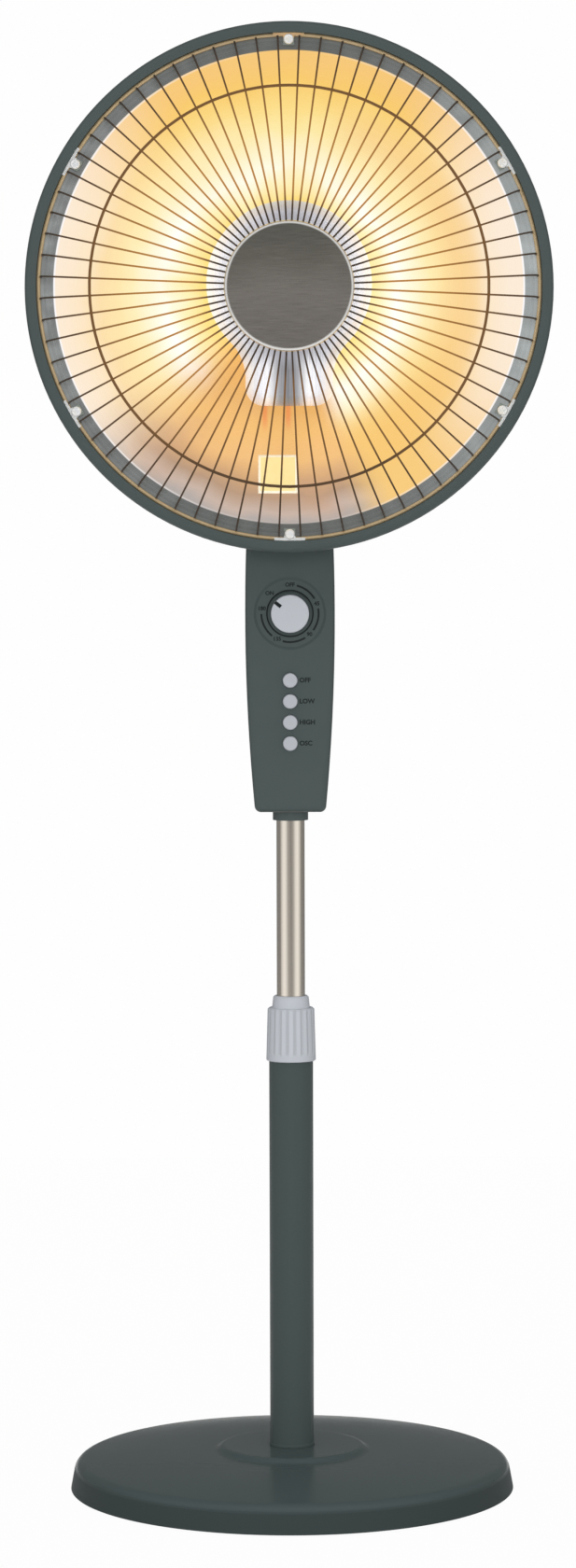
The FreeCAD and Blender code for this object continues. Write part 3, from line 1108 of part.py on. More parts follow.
def grille_nodes():
    path = bent_wire(in_xy(SPOKE_START, GRILLE_HUB_Y), in_xy(SPOKE_END_RADIUS, GRILLE_EDGE_Y),
                     in_xy(SPOKE_END_RADIUS, RIM_WIRE_Y), SPOKE_BEND)
    spoke = swept(path, SPOKE_WIRE)
    spoke.translate(HEAD_CENTRE)
    step = 360.0 / SPOKES
    spokes = spread(spoke, SPOKES, HEAD_CENTRE, AXIS_Y, step / 2)
    behind_mid = SPOKE_WIRE + MID_WIRE - WELD
    behind_hub = SPOKE_WIRE + HUB_WIRE - WELD
    rings = [head_ring(RIM_WIRE_RADIUS, RIM_WIRE, RIM_WIRE_Y),
             head_ring(MID_RING_RADIUS, MID_WIRE, spoke_y(MID_RING_RADIUS) + behind_mid),
             head_ring(HUB_RING_RADIUS, HUB_WIRE, spoke_y(HUB_RING_RADIUS) + behind_hub)]
    grille = rings[0].multiFuse(rings[1:] + spokes)

    hub_back = GRILLE_HUB_Y - SPOKE_WIRE - SEAT
    hub_face = hub_back - HUB_DEPTH
    turn = HUB_ROUND * (1 - math.sqrt(0.5))
    inner_turn = (HUB_ROUND - HUB_SHEET) * (1 - math.sqrt(0.5))
    inside = HUB_RADIUS - HUB_SHEET
    plate_front = spoke_y(HUB_RING_RADIUS) + behind_hub + HUB_WIRE + SEAT
    plate_back = plate_front + HUB_SHEET
    stud_end = plate_back + HUB_STUD_PROUD
    disc = spun([
        (0, hub_face), (HUB_RADIUS - HUB_ROUND, hub_face),
        ((HUB_RADIUS - turn, hub_face + turn), (HUB_RADIUS, hub_face + HUB_ROUND)),
        (HUB_RADIUS, hub_back), (inside, hub_back), (inside, hub_face + HUB_ROUND),
        ((inside - inner_turn, hub_face + HUB_SHEET + inner_turn), (HUB_RADIUS - HUB_ROUND, hub_face + HUB_SHEET)),
        (HUB_STUD_RADIUS, hub_face + HUB_SHEET), (HUB_STUD_RADIUS, stud_end), (0, stud_end)])
    plate = spun([(HUB_STUD_RADIUS + SCREW_FIT, plate_front), (HUB_PLATE_RADIUS, plate_front),
                  (HUB_PLATE_RADIUS, plate_back), (HUB_STUD_RADIUS + SCREW_FIT, plate_back)])

    tab_low = HEAD_Z + CLIP_OUTER - CLIP_TAB_REACH
    top = HEAD_Z + CLIP_OUTER
    half_tab = CLIP_TAB_WIDTH / 2
    half_bar = CLIP_BAR_WIDTH / 2
    bar_low = HEAD_Z + SPOKE_END_RADIUS + SPOKE_WIRE + CLIP_SPOKE_GAP
    clip = joined([
        block(vec(-half_tab, CLIP_FRONT, tab_low), vec(half_tab, CLIP_BACK, top)),
        block(vec(-half_bar, CLIP_FRONT, bar_low), vec(half_bar, CLIP_BACK, top)),
        block(vec(-half_tab, CLIP_FRONT, tab_low), vec(half_tab, FLANGE_FRONT - SEAT, tab_low + CLIP_SHEET))])
    clip = clip.common(rod(CLIP_OUTER, vec(0, CLIP_FRONT - 1, HEAD_Z), vec(0, FLANGE_FRONT, HEAD_Z)))
    clip = clip.cut(rod(SCREW_CLEARANCE, vec(0, CLIP_FRONT - 1, HEAD_Z + CLIP_SCREW_CIRCLE),
                        vec(0, FLANGE_FRONT, HEAD_Z + CLIP_SCREW_CIRCLE)))
    clips = Part.makeCompound(spread(clip, HEAD_SCREWS, HEAD_CENTRE, AXIS_Y))
    length = LEDGE_BACK - CLIP_FRONT - 1
    screws = [screw(spot, -AXIS_Y, length, CLIP_SCREW_HEAD, CLIP_SCREW_HEAD_HEIGHT)
              for spot in around_head(CLIP_SCREW_CIRCLE, CLIP_FRONT - SEAT, 0)]
    return {"grille": grille, "hub_disc": disc, "hub_plate": plate, "grille_clips": clips,
            "clip_screws": Part.makeCompound(screws)}


def lamp_path(leg_drop):
    """Horseshoe path of the lamp, from one leg's end to the other."""
    def at(x, z):
        return vec(x, LAMP_Y, HEAD_Z + z)
    bend_x = LAMP_LEG_X + LAMP_BEND
    reach = LAMP_RING_RADIUS + LAMP_BEND
    bend_z = -math.sqrt(reach ** 2 - bend_x ** 2)
    share = LAMP_RING_RADIUS / reach
    touch_x = bend_x * share
    touch_z = bend_z * share
    toward = math.hypot((LAMP_LEG_X + touch_x) / 2 - bend_x, (bend_z + touch_z) / 2 - bend_z)
    middle_x = bend_x + ((LAMP_LEG_X + touch_x) / 2 - bend_x) * LAMP_BEND / toward
    middle_z = bend_z + ((bend_z + touch_z) / 2 - bend_z) * LAMP_BEND / toward
    return Part.Wire([
        Part.makeLine(at(-LAMP_LEG_X, -leg_drop), at(-LAMP_LEG_X, bend_z)),
        Part.Arc(at(-LAMP_LEG_X, bend_z), at(-middle_x, middle_z), at(-touch_x, touch_z)).toShape(),
        Part.Arc(at(-touch_x, touch_z), at(0, LAMP_RING_RADIUS), at(touch_x, touch_z)).toShape(),
        Part.Arc(at(touch_x, touch_z), at(middle_x, middle_z), at(LAMP_LEG_X, bend_z)).toShape(),
        Part.makeLine(at(LAMP_LEG_X, bend_z), at(LAMP_LEG_X, -leg_drop))])


def shield_wire(inset, y):
    """The lamp shield's bulb-shaped outline, drawn in by inset, at depth y."""
    radius = SHIELD_RADIUS - inset
    fillet = SHIELD_FILLET + inset
    half = SHIELD_NECK_HALF - inset
    corner = SHIELD_CORNER - inset
    low = -SHIELD_DROP + inset
    fillet_x = SHIELD_NECK_HALF + SHIELD_FILLET
    reach = SHIELD_RADIUS + SHIELD_FILLET
    fillet_z = -math.sqrt(reach ** 2 - fillet_x ** 2)
    touch = (radius * fillet_x / reach, radius * fillet_z / reach)
    spread_angle = math.atan2(touch[1] - fillet_z, touch[0] - fillet_x)
    middle_angle = (spread_angle + math.pi) / 2
    bend = (fillet_x + fillet * math.cos(middle_angle), fillet_z + fillet * math.sin(middle_angle))
    tuck = corner * (1 - math.sqrt(0.5))

    def mirrored(point):
        return (-point[0], point[1])
    corner_middle = (half - tuck, low + tuck)
    points = [
        touch, (bend, (half, fillet_z)), (half, low + corner), (corner_middle, (half - corner, low)),
        (corner - half, low), (mirrored(corner_middle), (-half, low + corner)), (-half, fillet_z),
        (mirrored(bend), mirrored(touch)), ((0, radius), touch)]
    wire = outline(points, in_xz)
    wire.translate(vec(0, y, HEAD_Z + SHIELD_RISE))
    return wire


def lamp_nodes():
    path = lamp_path(LAMP_LEG_DROP)
    outside = swept(path, LAMP_TUBE_RADIUS)
    inside = swept(path, LAMP_TUBE_RADIUS - LAMP_TUBE_WALL)
    tube = outside.cut(inside)
    filament_drop = LAMP_LEG_DROP + CAP_BELOW / 2
    filament = swept(lamp_path(filament_drop), FILAMENT_RADIUS)
    caps = []
    for side in (-1, 1):
        x = side * LAMP_LEG_X
        end = HEAD_Z - LAMP_LEG_DROP
        cap = block(vec(x - CAP_WIDTH / 2, CAP_FRONT, end - CAP_BELOW), vec(x + CAP_WIDTH / 2, CAP_BACK, end + CAP_ABOVE))
        socket = rod(LAMP_TUBE_RADIUS + SEAT, vec(x, LAMP_Y, end - SEAT), vec(x, LAMP_Y, HEAD_Z))
        core = rod(FILAMENT_RADIUS + SEAT, vec(x, LAMP_Y, HEAD_Z - filament_drop - SEAT), vec(x, LAMP_Y, HEAD_Z))
        caps.append(cut_all(cap, [socket, core]))
    low = HEAD_Z - LAMP_LEG_DROP - CAP_BELOW
    half = BRACKET_WIDTH / 2
    bracket = joined([
        block(vec(-half, BRACKET_FRONT, low), vec(half, BRACKET_BACK, HEAD_Z - BRACKET_EYE)),
        block(vec(-BRACKET_EYE, BRACKET_FRONT, HEAD_Z - 2 * BRACKET_EYE), vec(BRACKET_EYE, BRACKET_BACK, HEAD_Z)),
        rod(BRACKET_EYE, vec(0, BRACKET_FRONT, HEAD_Z), vec(0, BRACKET_BACK, HEAD_Z))])
    bracket = bracket.cut(rod(POST_NECK_RADIUS + SEAT, vec(0, -FAR, HEAD_Z), vec(0, FAR, HEAD_Z)))

    shield_back_face = SHIELD_FACE_Y + SHIELD_SHEET
    flange_back = DISH_VERTEX - SEAT
    flange_front = flange_back - POST_FLANGE
    shoulder = BRACKET_BACK + SEAT
    post_end = shield_back_face + SEAT
    post = spun([
        (0, flange_back + POST_STUD), (POST_STUD_RADIUS, flange_back + POST_STUD), (POST_STUD_RADIUS, flange_back),
        (POST_FLANGE_RADIUS, flange_back), (POST_FLANGE_RADIUS, flange_front), (POST_RADIUS, flange_front),
        (POST_RADIUS, shoulder), (POST_NECK_RADIUS, shoulder), (POST_NECK_RADIUS, post_end),
        (SCREW_PILOT, post_end), (SCREW_PILOT, post_end + SCREW_LENGTH + 2), (0, post_end + SCREW_LENGTH + 2)])
    nut_front = DISH_VERTEX + SHEET + SEAT
    nut = hexagon(POST_NUT_FLATS, vec(0, nut_front, HEAD_Z), vec(0, nut_front + POST_NUT_HEIGHT, HEAD_Z))
    nut = nut.cut(rod(POST_STUD_RADIUS + SCREW_FIT, vec(0, DISH_VERTEX, HEAD_Z), vec(0, FAR, HEAD_Z)))

    outer = [shield_wire(inset, SHIELD_RIM_Y - depth) for inset, depth in SHIELD_STEPS]
    inner = [shield_wire(inset + SHIELD_SHEET, SHIELD_RIM_Y - depth + SHIELD_SHEET)
             for inset, depth in SHIELD_STEPS]
    shield = Part.makeLoft(outer, True, False).cut(Part.makeLoft(inner, True, False))
    shield = shield.cut(rod(SCREW_CLEARANCE, vec(0, SHIELD_FACE_Y - 1, HEAD_Z), vec(0, post_end, HEAD_Z)))
    shield_screw = screw(vec(0, SHIELD_FACE_Y - SEAT, HEAD_Z), -AXIS_Y, SCREW_LENGTH)

    back = COVER_INSIDE - SEAT
    low = HEAD_Z + BLOCK_RISE
    terminal = block(vec(-BLOCK_WIDTH / 2, back - BLOCK_DEPTH, low), vec(BLOCK_WIDTH / 2, back, low + BLOCK_HEIGHT))
    return {"lamp_tube": tube, "lamp_filament": filament, "lamp_caps": Part.makeCompound(caps),
            "lamp_bracket": bracket, "shield_post": post, "post_nut": nut, "lamp_shield": shield,
            "shield_screw": shield_screw, "lamp_terminal": terminal}


def main():
    nodes = {}
    for make in (base_nodes, pole_nodes, mast_nodes, drive_nodes, housing_nodes, control_nodes, tilt_nodes,
                 shell_nodes, reflector_node, grille_nodes, lamp_nodes):
        nodes.update(make())
    os.makedirs("parts", exist_ok=True)
    for name, shape in nodes.items():
        shape.exportStep("parts/" + name + ".step")


main()
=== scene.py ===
"""Looks of a free-standing halogen heater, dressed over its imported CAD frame.

Metres, +Z up, the lit face looks to -Y. Angles are in degrees unless a comment says otherwise.
"""

import json
import math

import bpy
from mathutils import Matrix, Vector


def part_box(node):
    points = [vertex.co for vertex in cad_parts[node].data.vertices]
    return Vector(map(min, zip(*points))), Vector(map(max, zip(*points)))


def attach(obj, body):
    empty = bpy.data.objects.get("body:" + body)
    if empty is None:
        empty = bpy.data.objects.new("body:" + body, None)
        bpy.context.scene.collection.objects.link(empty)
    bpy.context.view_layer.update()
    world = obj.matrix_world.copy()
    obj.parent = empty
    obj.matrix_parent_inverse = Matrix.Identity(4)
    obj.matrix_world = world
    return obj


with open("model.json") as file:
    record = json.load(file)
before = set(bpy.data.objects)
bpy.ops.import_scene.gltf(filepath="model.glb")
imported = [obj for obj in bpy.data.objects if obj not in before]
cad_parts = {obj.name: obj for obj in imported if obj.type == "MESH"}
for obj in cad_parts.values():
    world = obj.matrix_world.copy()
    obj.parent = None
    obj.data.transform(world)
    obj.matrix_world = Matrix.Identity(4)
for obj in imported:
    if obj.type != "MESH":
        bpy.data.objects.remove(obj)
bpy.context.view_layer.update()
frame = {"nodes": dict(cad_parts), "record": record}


def middle_height(node):
    """Height of the middle of a CAD node."""
    low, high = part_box(node)
    return (low.z + high.z) / 2


# The head, around its axis
HEAD_Z = middle_height("hub_disc")
HEAD_RADIUS = 0.200
DISH_VERTEX_Y = -0.006
DISH_DEPTH = 0.080
DISH_FLAT_RADIUS = 0.022
DISH_RADIUS = 0.1784
GUARD_RIM_RADIUS = 0.1882
CLIP_BAR_RADIUS = 0.1872
HUB_RIM_RADIUS = 0.0466
# Heights over which the hub's painted reflection runs from lighter to darker
HUB_SHADE_LOW = HEAD_Z - 0.034
HUB_SHADE_HIGH = HEAD_Z + 0.064
SHIELD_NECK_START = HEAD_Z - 0.046
SHIELD_NECK_FULL = HEAD_Z - 0.062
# Half width of the shield's neck, and the middle of the dark streak painted down it as a reflection
SHIELD_NECK_HALF = 0.034
SHIELD_DARK_STREAK_X = -0.001

# The painted glow: the dish's bright edge line (a painted highlight), the red streaks under the shield
# (painted reflections of the lamp), and the painted glow on the wires
EDGE_HIGHLIGHT_START = DISH_RADIUS - 0.0016
EDGE_HIGHLIGHT_FULL = DISH_RADIUS - 0.0008
STREAK_PLACES = (-0.019, -0.001)
STREAK_CORE = 0.0006
STREAK_REACH = 0.0032
STREAK_FOOT = -0.110
STREAK_FULL = -0.096
WIRE_GLOW_START = 0.058
WIRE_GLOW_FULL = 0.076
WIRE_FADE_START = 0.100
WIRE_FADE_END = 0.172
WIRE_DARK_START = DISH_RADIUS - 0.004
WIRE_DARK_FULL = DISH_RADIUS + 0.002
AXIS_CLEAR = 0.02

# The blank sticker on the dish
STICKER_LEFT = -0.0240
STICKER_RIGHT = 0.0061
STICKER_LOW = HEAD_Z - 0.1551
STICKER_HIGH = HEAD_Z - 0.1256
STICKER_BORDER = 0.0017
STICKER_BORDER_BLUR = 0.0002
STICKER_LIFT = 0.0003
STICKER_THICKNESS = 0.00015
STICKER_CELLS = 12

# The timer's dial and knob
DIAL_Z = middle_height("timer_shaft")
DIAL_FLOOR_Y = -0.0330
DIAL_SCALE_RADIUS = 0.0221
DIAL_LINE = 0.0015
DIAL_LETTER = 0.0042
# A ring of painted shadow in the gap between the knob's skirt and its pocket
POCKET_SHADOW_RADIUS = 0.0178
POCKET_SHADOW_WIDTH = 0.0010
POCKET_SHADOW_END = 359.6
POCKET_FLOOR_Y = -0.0324
KNOB_REST = 52
KNOB_NOTCH_WIDTH = 0.0028
KNOB_NOTCH_START = 0.0088
KNOB_NOTCH_END = 0.01455
KNOB_NOTCH_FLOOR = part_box("knob_cap")[0].y + 0.0018
KNOB_NOTCH_PLAY = 0.00005
# Thickness of the painted shade layer in the knob's notch
KNOB_SHADE_LAYER = 0.00004

# The buttons and the print on the housing
PANEL_Y = -0.034
BUTTON_NODES = ("button_off", "button_low", "button_high", "button_osc")
BUTTON_LABEL_X = 0.0071
BUTTON_LETTER = 0.0050
PRINT_LIFT = 0.00003
LETTER_SWELL = 0.04
ARC_STEP = 3
ARC_LEAST_STEPS = 8

# The clamp nut
NUT_FLUTES = 20
NUT_PLAIN_BAND = 0.005
NUT_NECK = 0.0095

# Lettering, all of it generic
DIAL_LABELS = (("OFF", 0), ("45", 70), ("90", 137), ("135", 207), ("180", 280), ("ON", 315))
DIAL_ARCS = ((14, 59), (80, 126), (148, 195), (219, 269))
BUTTON_LABELS = ("OFF", "LOW", "HIGH", "OSC")

# The room in reflections, as brightness from behind the photograph's camera (0) to the backdrop (1)
ROOM = ((0.0, 0.26), (0.02, 0.34), (0.12, 0.88), (0.24, 0.98), (0.38, 0.70), (0.55, 0.26), (1.0, 0.20))

# Even light of the world, white of the backdrop, and the floor
AMBIENT = 0.5
BACKDROP = 0.99
FLOOR_REACH = 1.8
FLOOR_DROP = 0.0004
FLOOR_MATT = 0.5
FLOOR_WHITE = 0.975

# Each lamp's name, place, target, width and height, and watts
LAMPS = (
    ("side_left", (-2.1, -0.35, 0.95), (0.0, 0.0, 0.75), (1.5, 2.2), 3.0),
    ("side_right", (2.1, -0.35, 0.95), (0.0, 0.0, 0.75), (1.5, 2.2), 3.0),
    ("front", (0.0, -3.8, 0.72), (0.0, 0.0, 0.68), (2.4, 1.8), 87.0),
    ("back", (0.0, 3.8, 1.0), (0.0, 0.0, 0.75), (2.4, 1.8), 60.0),
    ("overhead", (0.0, -1.2, 3.1), (0.0, 0.0, 0.0), (2.6, 2.6), 15.0),
)

# The photograph's camera, with its lens and sensor in millimetres
CAMERA_PLACE = (-0.0013, -3.495, 0.773)
CAMERA_DOWN = 3.556
CAMERA_ROLL = 0.15
CAMERA_LENS = 102.96
CAMERA_SENSOR = 36.0
CAMERA_REACH = 60.0


def srgb(red, green, blue):
    """A colour as a picture shows it, as the linear colour that a shader takes."""
    parts = [channel / 255 for channel in (red, green, blue)]
    return tuple(p / 12.92 if p <= 0.04045 else ((p + 0.055) / 1.055) ** 2.4 for p in parts) + (1.0,)


def toned(colour, factor):
    """The colour made lighter or darker."""
    return tuple(min(1.0, channel * factor) for channel in colour[:3]) + (1.0,)


def grey(level):
    """A linear grey."""
    return (level, level, level, 1.0)


BLACK = grey(0.0)
WHITE = grey(1.0)
DARK = srgb(66, 76, 75)
LIGHT = srgb(181, 185, 191)


class Nodes:
    """A node tree whose nodes are made and linked as values are asked for."""

    def __init__(self, tree):
        self.tree = tree

    def feed(self, socket, value):
        """Link a socket to another node's output, or set its value."""
        if isinstance(value, bpy.types.NodeSocket):
            self.tree.links.new(value, socket)
        else:
            socket.default_value = value

    def add(self, kind, inputs, **settings):
        """A new node with these settings, its inputs fed by name or number."""
        node = self.tree.nodes.new(kind)
        for setting, value in settings.items():
            setattr(node, setting, value)
        for socket, value in inputs.items():
            self.feed(node.inputs[socket], value)
        return node

    def math(self, operation, first, second=0.0):
        return self.add("ShaderNodeMath", {0: first, 1: second}, operation=operation).outputs[0]

    def times(self, product, *others):
        for other in others:
            product = self.math("MULTIPLY", product, other)
        return product

    def split(self, vector):
        node = self.add("ShaderNodeSeparateXYZ", {0: vector})
        return node.outputs[0], node.outputs[1], node.outputs[2]

    def span(self, value, low, high, to_low=0.0, to_high=1.0):
        """A smooth step from to_low to to_high as the value goes from low to high."""
        inputs = dict(enumerate((value, low, high, to_low, to_high)))
        return self.add("ShaderNodeMapRange", inputs, interpolation_type="SMOOTHSTEP").outputs[0]

    def ramp(self, value, stops):
        """Colours along a value."""
        node = self.add("ShaderNodeValToRGB", {0: value})
        elements = node.color_ramp.elements
        while len(elements) < len(stops):
            elements.new(0.5)
        for element, (position, colour) in zip(elements, stops):
            element.position = position
            element.color = colour
        return node.outputs[0]

    def mix(self, share, first, second):
        return self.add("ShaderNodeMix", {0: share, 6: first, 7: second}, data_type="RGBA").outputs[2]

    def mix_shader(self, share, first, second):
        return self.add("ShaderNodeMixShader", {0: share, 1: first.outputs[0], 2: second.outputs[0]})


class Paint(Nodes):
    """One procedural material and the nodes that drive it."""

    def __init__(self, name, sockets):
        self.material = bpy.data.materials.new(name)
        self.material.use_nodes = True
        super().__init__(self.material.node_tree)
        self.shader = self.tree.nodes["Principled BSDF"]
        for socket, value in sockets.items():
            self.shader.inputs[socket].default_value = value
        texture = self.add("ShaderNodeTexCoord", {})
        self.place = texture.outputs["Object"]
        self.normal = texture.outputs["Normal"]

    def drive(self, name, value):
        self.feed(self.shader.inputs[name], value)

    def axes(self):
        return self.split(self.place)

    def join(self, x, y, z):
        return self.add("ShaderNodeCombineXYZ", {0: x, 1: y, 2: z}).outputs[0]

    def stretched(self, x, y, z):
        return self.add("ShaderNodeMapping", {"Vector": self.place, "Scale": (x, y, z)}).outputs[0]

    def noise(self, scale, detail=2.0, vector=None):
        place = self.place if vector is None else vector
        return self.add("ShaderNodeTexNoise", {"Vector": place, "Scale": scale, "Detail": detail}).outputs[0]

    def sweep(self, turn, start, end, to_low=0.0, to_high=1.0):
        """A smooth step over an angle."""
        return self.span(turn, math.radians(start), math.radians(end), to_low, to_high)

    def past(self, value, edge, blur):
        """One beyond an edge and none before it."""
        return self.span(value, edge - blur, edge + blur)

    def sideways(self, turn, power):
        """One at the head's left and right, falling to none at its top and bottom."""
        return self.math("POWER", self.math("ABSOLUTE", self.math("SINE", turn)), power)

    def rough(self, pattern, smoothest, roughest, low=0.3, high=0.7):
        """Roughness that follows a pattern."""
        self.drive("Roughness", self.span(pattern, low, high, smoothest, roughest))

    def bump(self, height, strength, distance):
        node = self.add("ShaderNodeBump", {"Strength": strength, "Distance": distance, "Height": height})
        self.drive("Normal", node.outputs[0])

    def head_polar(self):
        """Distance from the head's axis in metres, and the turn from the top in radians, 0 to pi."""
        x, _, z = self.axes()
        rise = self.math("SUBTRACT", z, HEAD_Z)
        squares = self.math("ADD", self.times(x, x), self.times(rise, rise))
        turn = self.math("ABSOLUTE", self.math("ARCTAN2", x, rise))
        return self.math("SQRT", squares), turn


def moulded(name, colour, roughness, specular, grain=1500.0, relief=0.12):
    """Moulded plastic: slight flow marks in the colour, a fine spark-eroded grain, uneven gloss."""
    paint = Paint(name, {"Specular IOR Level": specular})
    paint.drive("Base Color", paint.mix(paint.noise(11.0, 3.0), toned(colour, 0.93), toned(colour, 1.07)))
    paint.rough(paint.noise(70.0), roughness - 0.05, roughness + 0.05, 0.25, 0.75)
    paint.bump(paint.noise(grain, 3.0), relief, 0.0002)
    return paint.material


def coated(name, colour, roughness, specular):
    """Paint on metal: the orange peel of a sprayed coat over an even colour."""
    paint = Paint(name, {"Specular IOR Level": specular})
    paint.drive("Base Color", paint.mix(paint.noise(7.0), toned(colour, 0.96), toned(colour, 1.04)))
    paint.rough(paint.noise(45.0), roughness - 0.03, roughness + 0.03)
    paint.bump(paint.noise(420.0), 0.05, 0.0002)
    return paint.material


def base_enamel(colour):
    """Glossy enamel on the round base, painted darker on its steep side as shade, and rougher there."""
    paint = Paint("base_enamel", {"Specular IOR Level": 0.12})
    upward = paint.span(paint.split(paint.normal)[2], 0.1, 0.6)
    even = paint.mix(paint.noise(7.0), toned(colour, 0.97), toned(colour, 1.03))
    # Painted shade: the colour darkens where the surface turns from facing up to facing sideways.
    paint.drive("Base Color", paint.mix(upward, toned(colour, 0.60), even))
    gloss = paint.span(paint.noise(45.0), 0.3, 0.7, 0.208, 0.232)
    dull = paint.times(paint.math("SUBTRACT", 1.0, upward), 0.45)
    paint.drive("Roughness", paint.math("ADD", gloss, dull))
    paint.bump(paint.noise(700.0), 0.02, 0.0002)
    return paint.material


def drawn_metal(name, colour, roughness, scale):
    """Metal with the fine lines of drawing, turning or brushing along one way."""
    paint = Paint(name, {"Metallic": 1.0})
    lines = paint.noise(1.0, 4.0, paint.stretched(*scale))
    paint.drive("Base Color", paint.mix(lines, toned(colour, 0.9), toned(colour, 1.1)))
    paint.rough(lines, roughness - 0.05, roughness + 0.07)
    paint.bump(lines, 0.06, 0.0001)
    return paint.material


def zinc_plate(colour):
    """Zinc plating: cloudy, faintly yellow and blue from the passivation."""
    paint = Paint("zinc", {"Metallic": 0.4})
    red, green, blue, _ = colour
    bluish = (red * 0.93, green * 0.96, blue, 1.0)
    yellowish = (red, green * 0.97, blue * 0.88, 1.0)
    cloud = paint.noise(160.0, 3.0)
    paint.drive("Base Color", paint.ramp(cloud, [(0.3, bluish), (0.5, colour), (0.7, yellowish)]))
    paint.rough(cloud, 0.30, 0.44)
    paint.bump(paint.noise(900.0), 0.05, 0.0001)
    return paint.material


def cast_iron():
    """Raw casting of the hidden weight."""
    paint = Paint("cast_iron", {"Metallic": 0.7})
    cloud = paint.noise(90.0, 5.0)
    paint.drive("Base Color", paint.mix(cloud, (0.05, 0.05, 0.052, 1.0), (0.13, 0.115, 0.1, 1.0)))
    paint.rough(cloud, 0.6, 0.8)
    paint.bump(paint.noise(350.0, 5.0), 0.5, 0.0006)
    return paint.material


def ceramic():
    """Unglazed lamp caps and terminal."""
    paint = Paint("ceramic", {"Specular IOR Level": 0.3})
    cloud = paint.noise(220.0, 4.0)
    paint.drive("Base Color", paint.mix(cloud, (0.74, 0.71, 0.65, 1.0), (0.86, 0.84, 0.8, 1.0)))
    paint.rough(cloud, 0.55, 0.75)
    paint.bump(paint.noise(1200.0, 3.0), 0.25, 0.0002)
    return paint.material


def horseshoe_glow(paint, wavy, share, turn, aside):
    """Painted glow: the white-hot band round the shield, amber towards the top and paler towards the sides.
    """
    top = paint.ramp(wavy, [
        (0.30, srgb(240, 192, 82)), (0.36, srgb(246, 212, 112)), (0.42, srgb(250, 237, 186)),
        (0.48, srgb(252, 250, 232)), (0.54, srgb(251, 243, 208)), (0.60, srgb(249, 231, 165)),
        (0.69, srgb(247, 217, 132)), (0.79, srgb(243, 198, 102)), (0.86, srgb(240, 194, 112))])
    side = paint.ramp(paint.math("ADD", wavy, paint.times(aside, 0.03)), [
        (0.31, srgb(249, 217, 128)), (0.38, srgb(250, 236, 182)), (0.45, srgb(255, 254, 250)),
        (0.51, srgb(252, 246, 219)), (0.57, srgb(251, 235, 184)), (0.63, srgb(249, 225, 168)),
        (0.69, srgb(247, 219, 167)), (0.76, srgb(247, 226, 194)), (0.86, srgb(246, 230, 211))])
    far_out = paint.span(share, 0.58, 0.74)
    near_flank = paint.times(paint.sweep(turn, 4, 32), paint.math("SUBTRACT", 1.0, far_out))
    far_flank = paint.times(paint.sweep(turn, 29, 74), far_out)
    return paint.mix(paint.math("ADD", near_flank, far_flank), top, side)


def amber_right(paint, glow, share, turn, aside):
    """Three soft amber fields of painted glow over the right of the glow."""
    beside = paint.span(aside, 0.15, 0.5)
    low_right = paint.times(paint.sweep(turn, 108, 146), paint.span(aside, 0.05, 0.3),
                            paint.span(share, 0.50, 0.66, 0.0, 0.9))
    glow = paint.mix(low_right, glow, srgb(241, 195, 106))
    band = paint.times(paint.span(share, 0.54, 0.66), paint.span(share, 0.70, 0.77, 0.5, 0.0), beside)
    glow = paint.mix(band, glow, srgb(242, 196, 118))
    below = paint.times(paint.sweep(turn, 88, 126), paint.span(share, 0.46, 0.60),
                        paint.span(share, 0.72, 0.80, 0.55, 0.1), beside)
    return paint.mix(below, glow, srgb(243, 196, 108))


def dim_bottom(paint, glow, wavy, turn, aside, x, rise):
    """The open end of the horseshoe of painted glow: a dimmer, smeared field with two red streaks under the
    shield, which are painted reflections of the lamp.
    """
    bottom = paint.ramp(wavy, [
        (0.30, srgb(230, 168, 84)), (0.46, srgb(230, 176, 105)), (0.56, srgb(239, 187, 114)),
        (0.66, srgb(238, 187, 120)), (0.73, srgb(205, 161, 116)), (0.79, srgb(178, 147, 122)),
        (0.85, srgb(194, 175, 164)), (0.885, srgb(172, 166, 164))])
    smeared_glow = paint.span(paint.noise(16.0, 3.0), 0.42, 0.7, 0.0, 0.4)
    bottom = paint.mix(smeared_glow, bottom, srgb(200, 158, 128))
    leaning = paint.math("SUBTRACT", turn, paint.times(aside, math.radians(25)))
    low = paint.sweep(leaning, 140, 160)
    glow = paint.mix(low, glow, bottom)
    # Each red streak is a painted reflection of the lamp under the shield.
    for place in STREAK_PLACES:
        off = paint.math("ABSOLUTE", paint.math("SUBTRACT", x, place))
        streak = paint.times(paint.span(off, STREAK_CORE, STREAK_REACH, 0.45, 0.0),
                             paint.span(rise, STREAK_FOOT, STREAK_FULL), low)
        glow = paint.mix(streak, glow, srgb(236, 104, 58))
    return glow


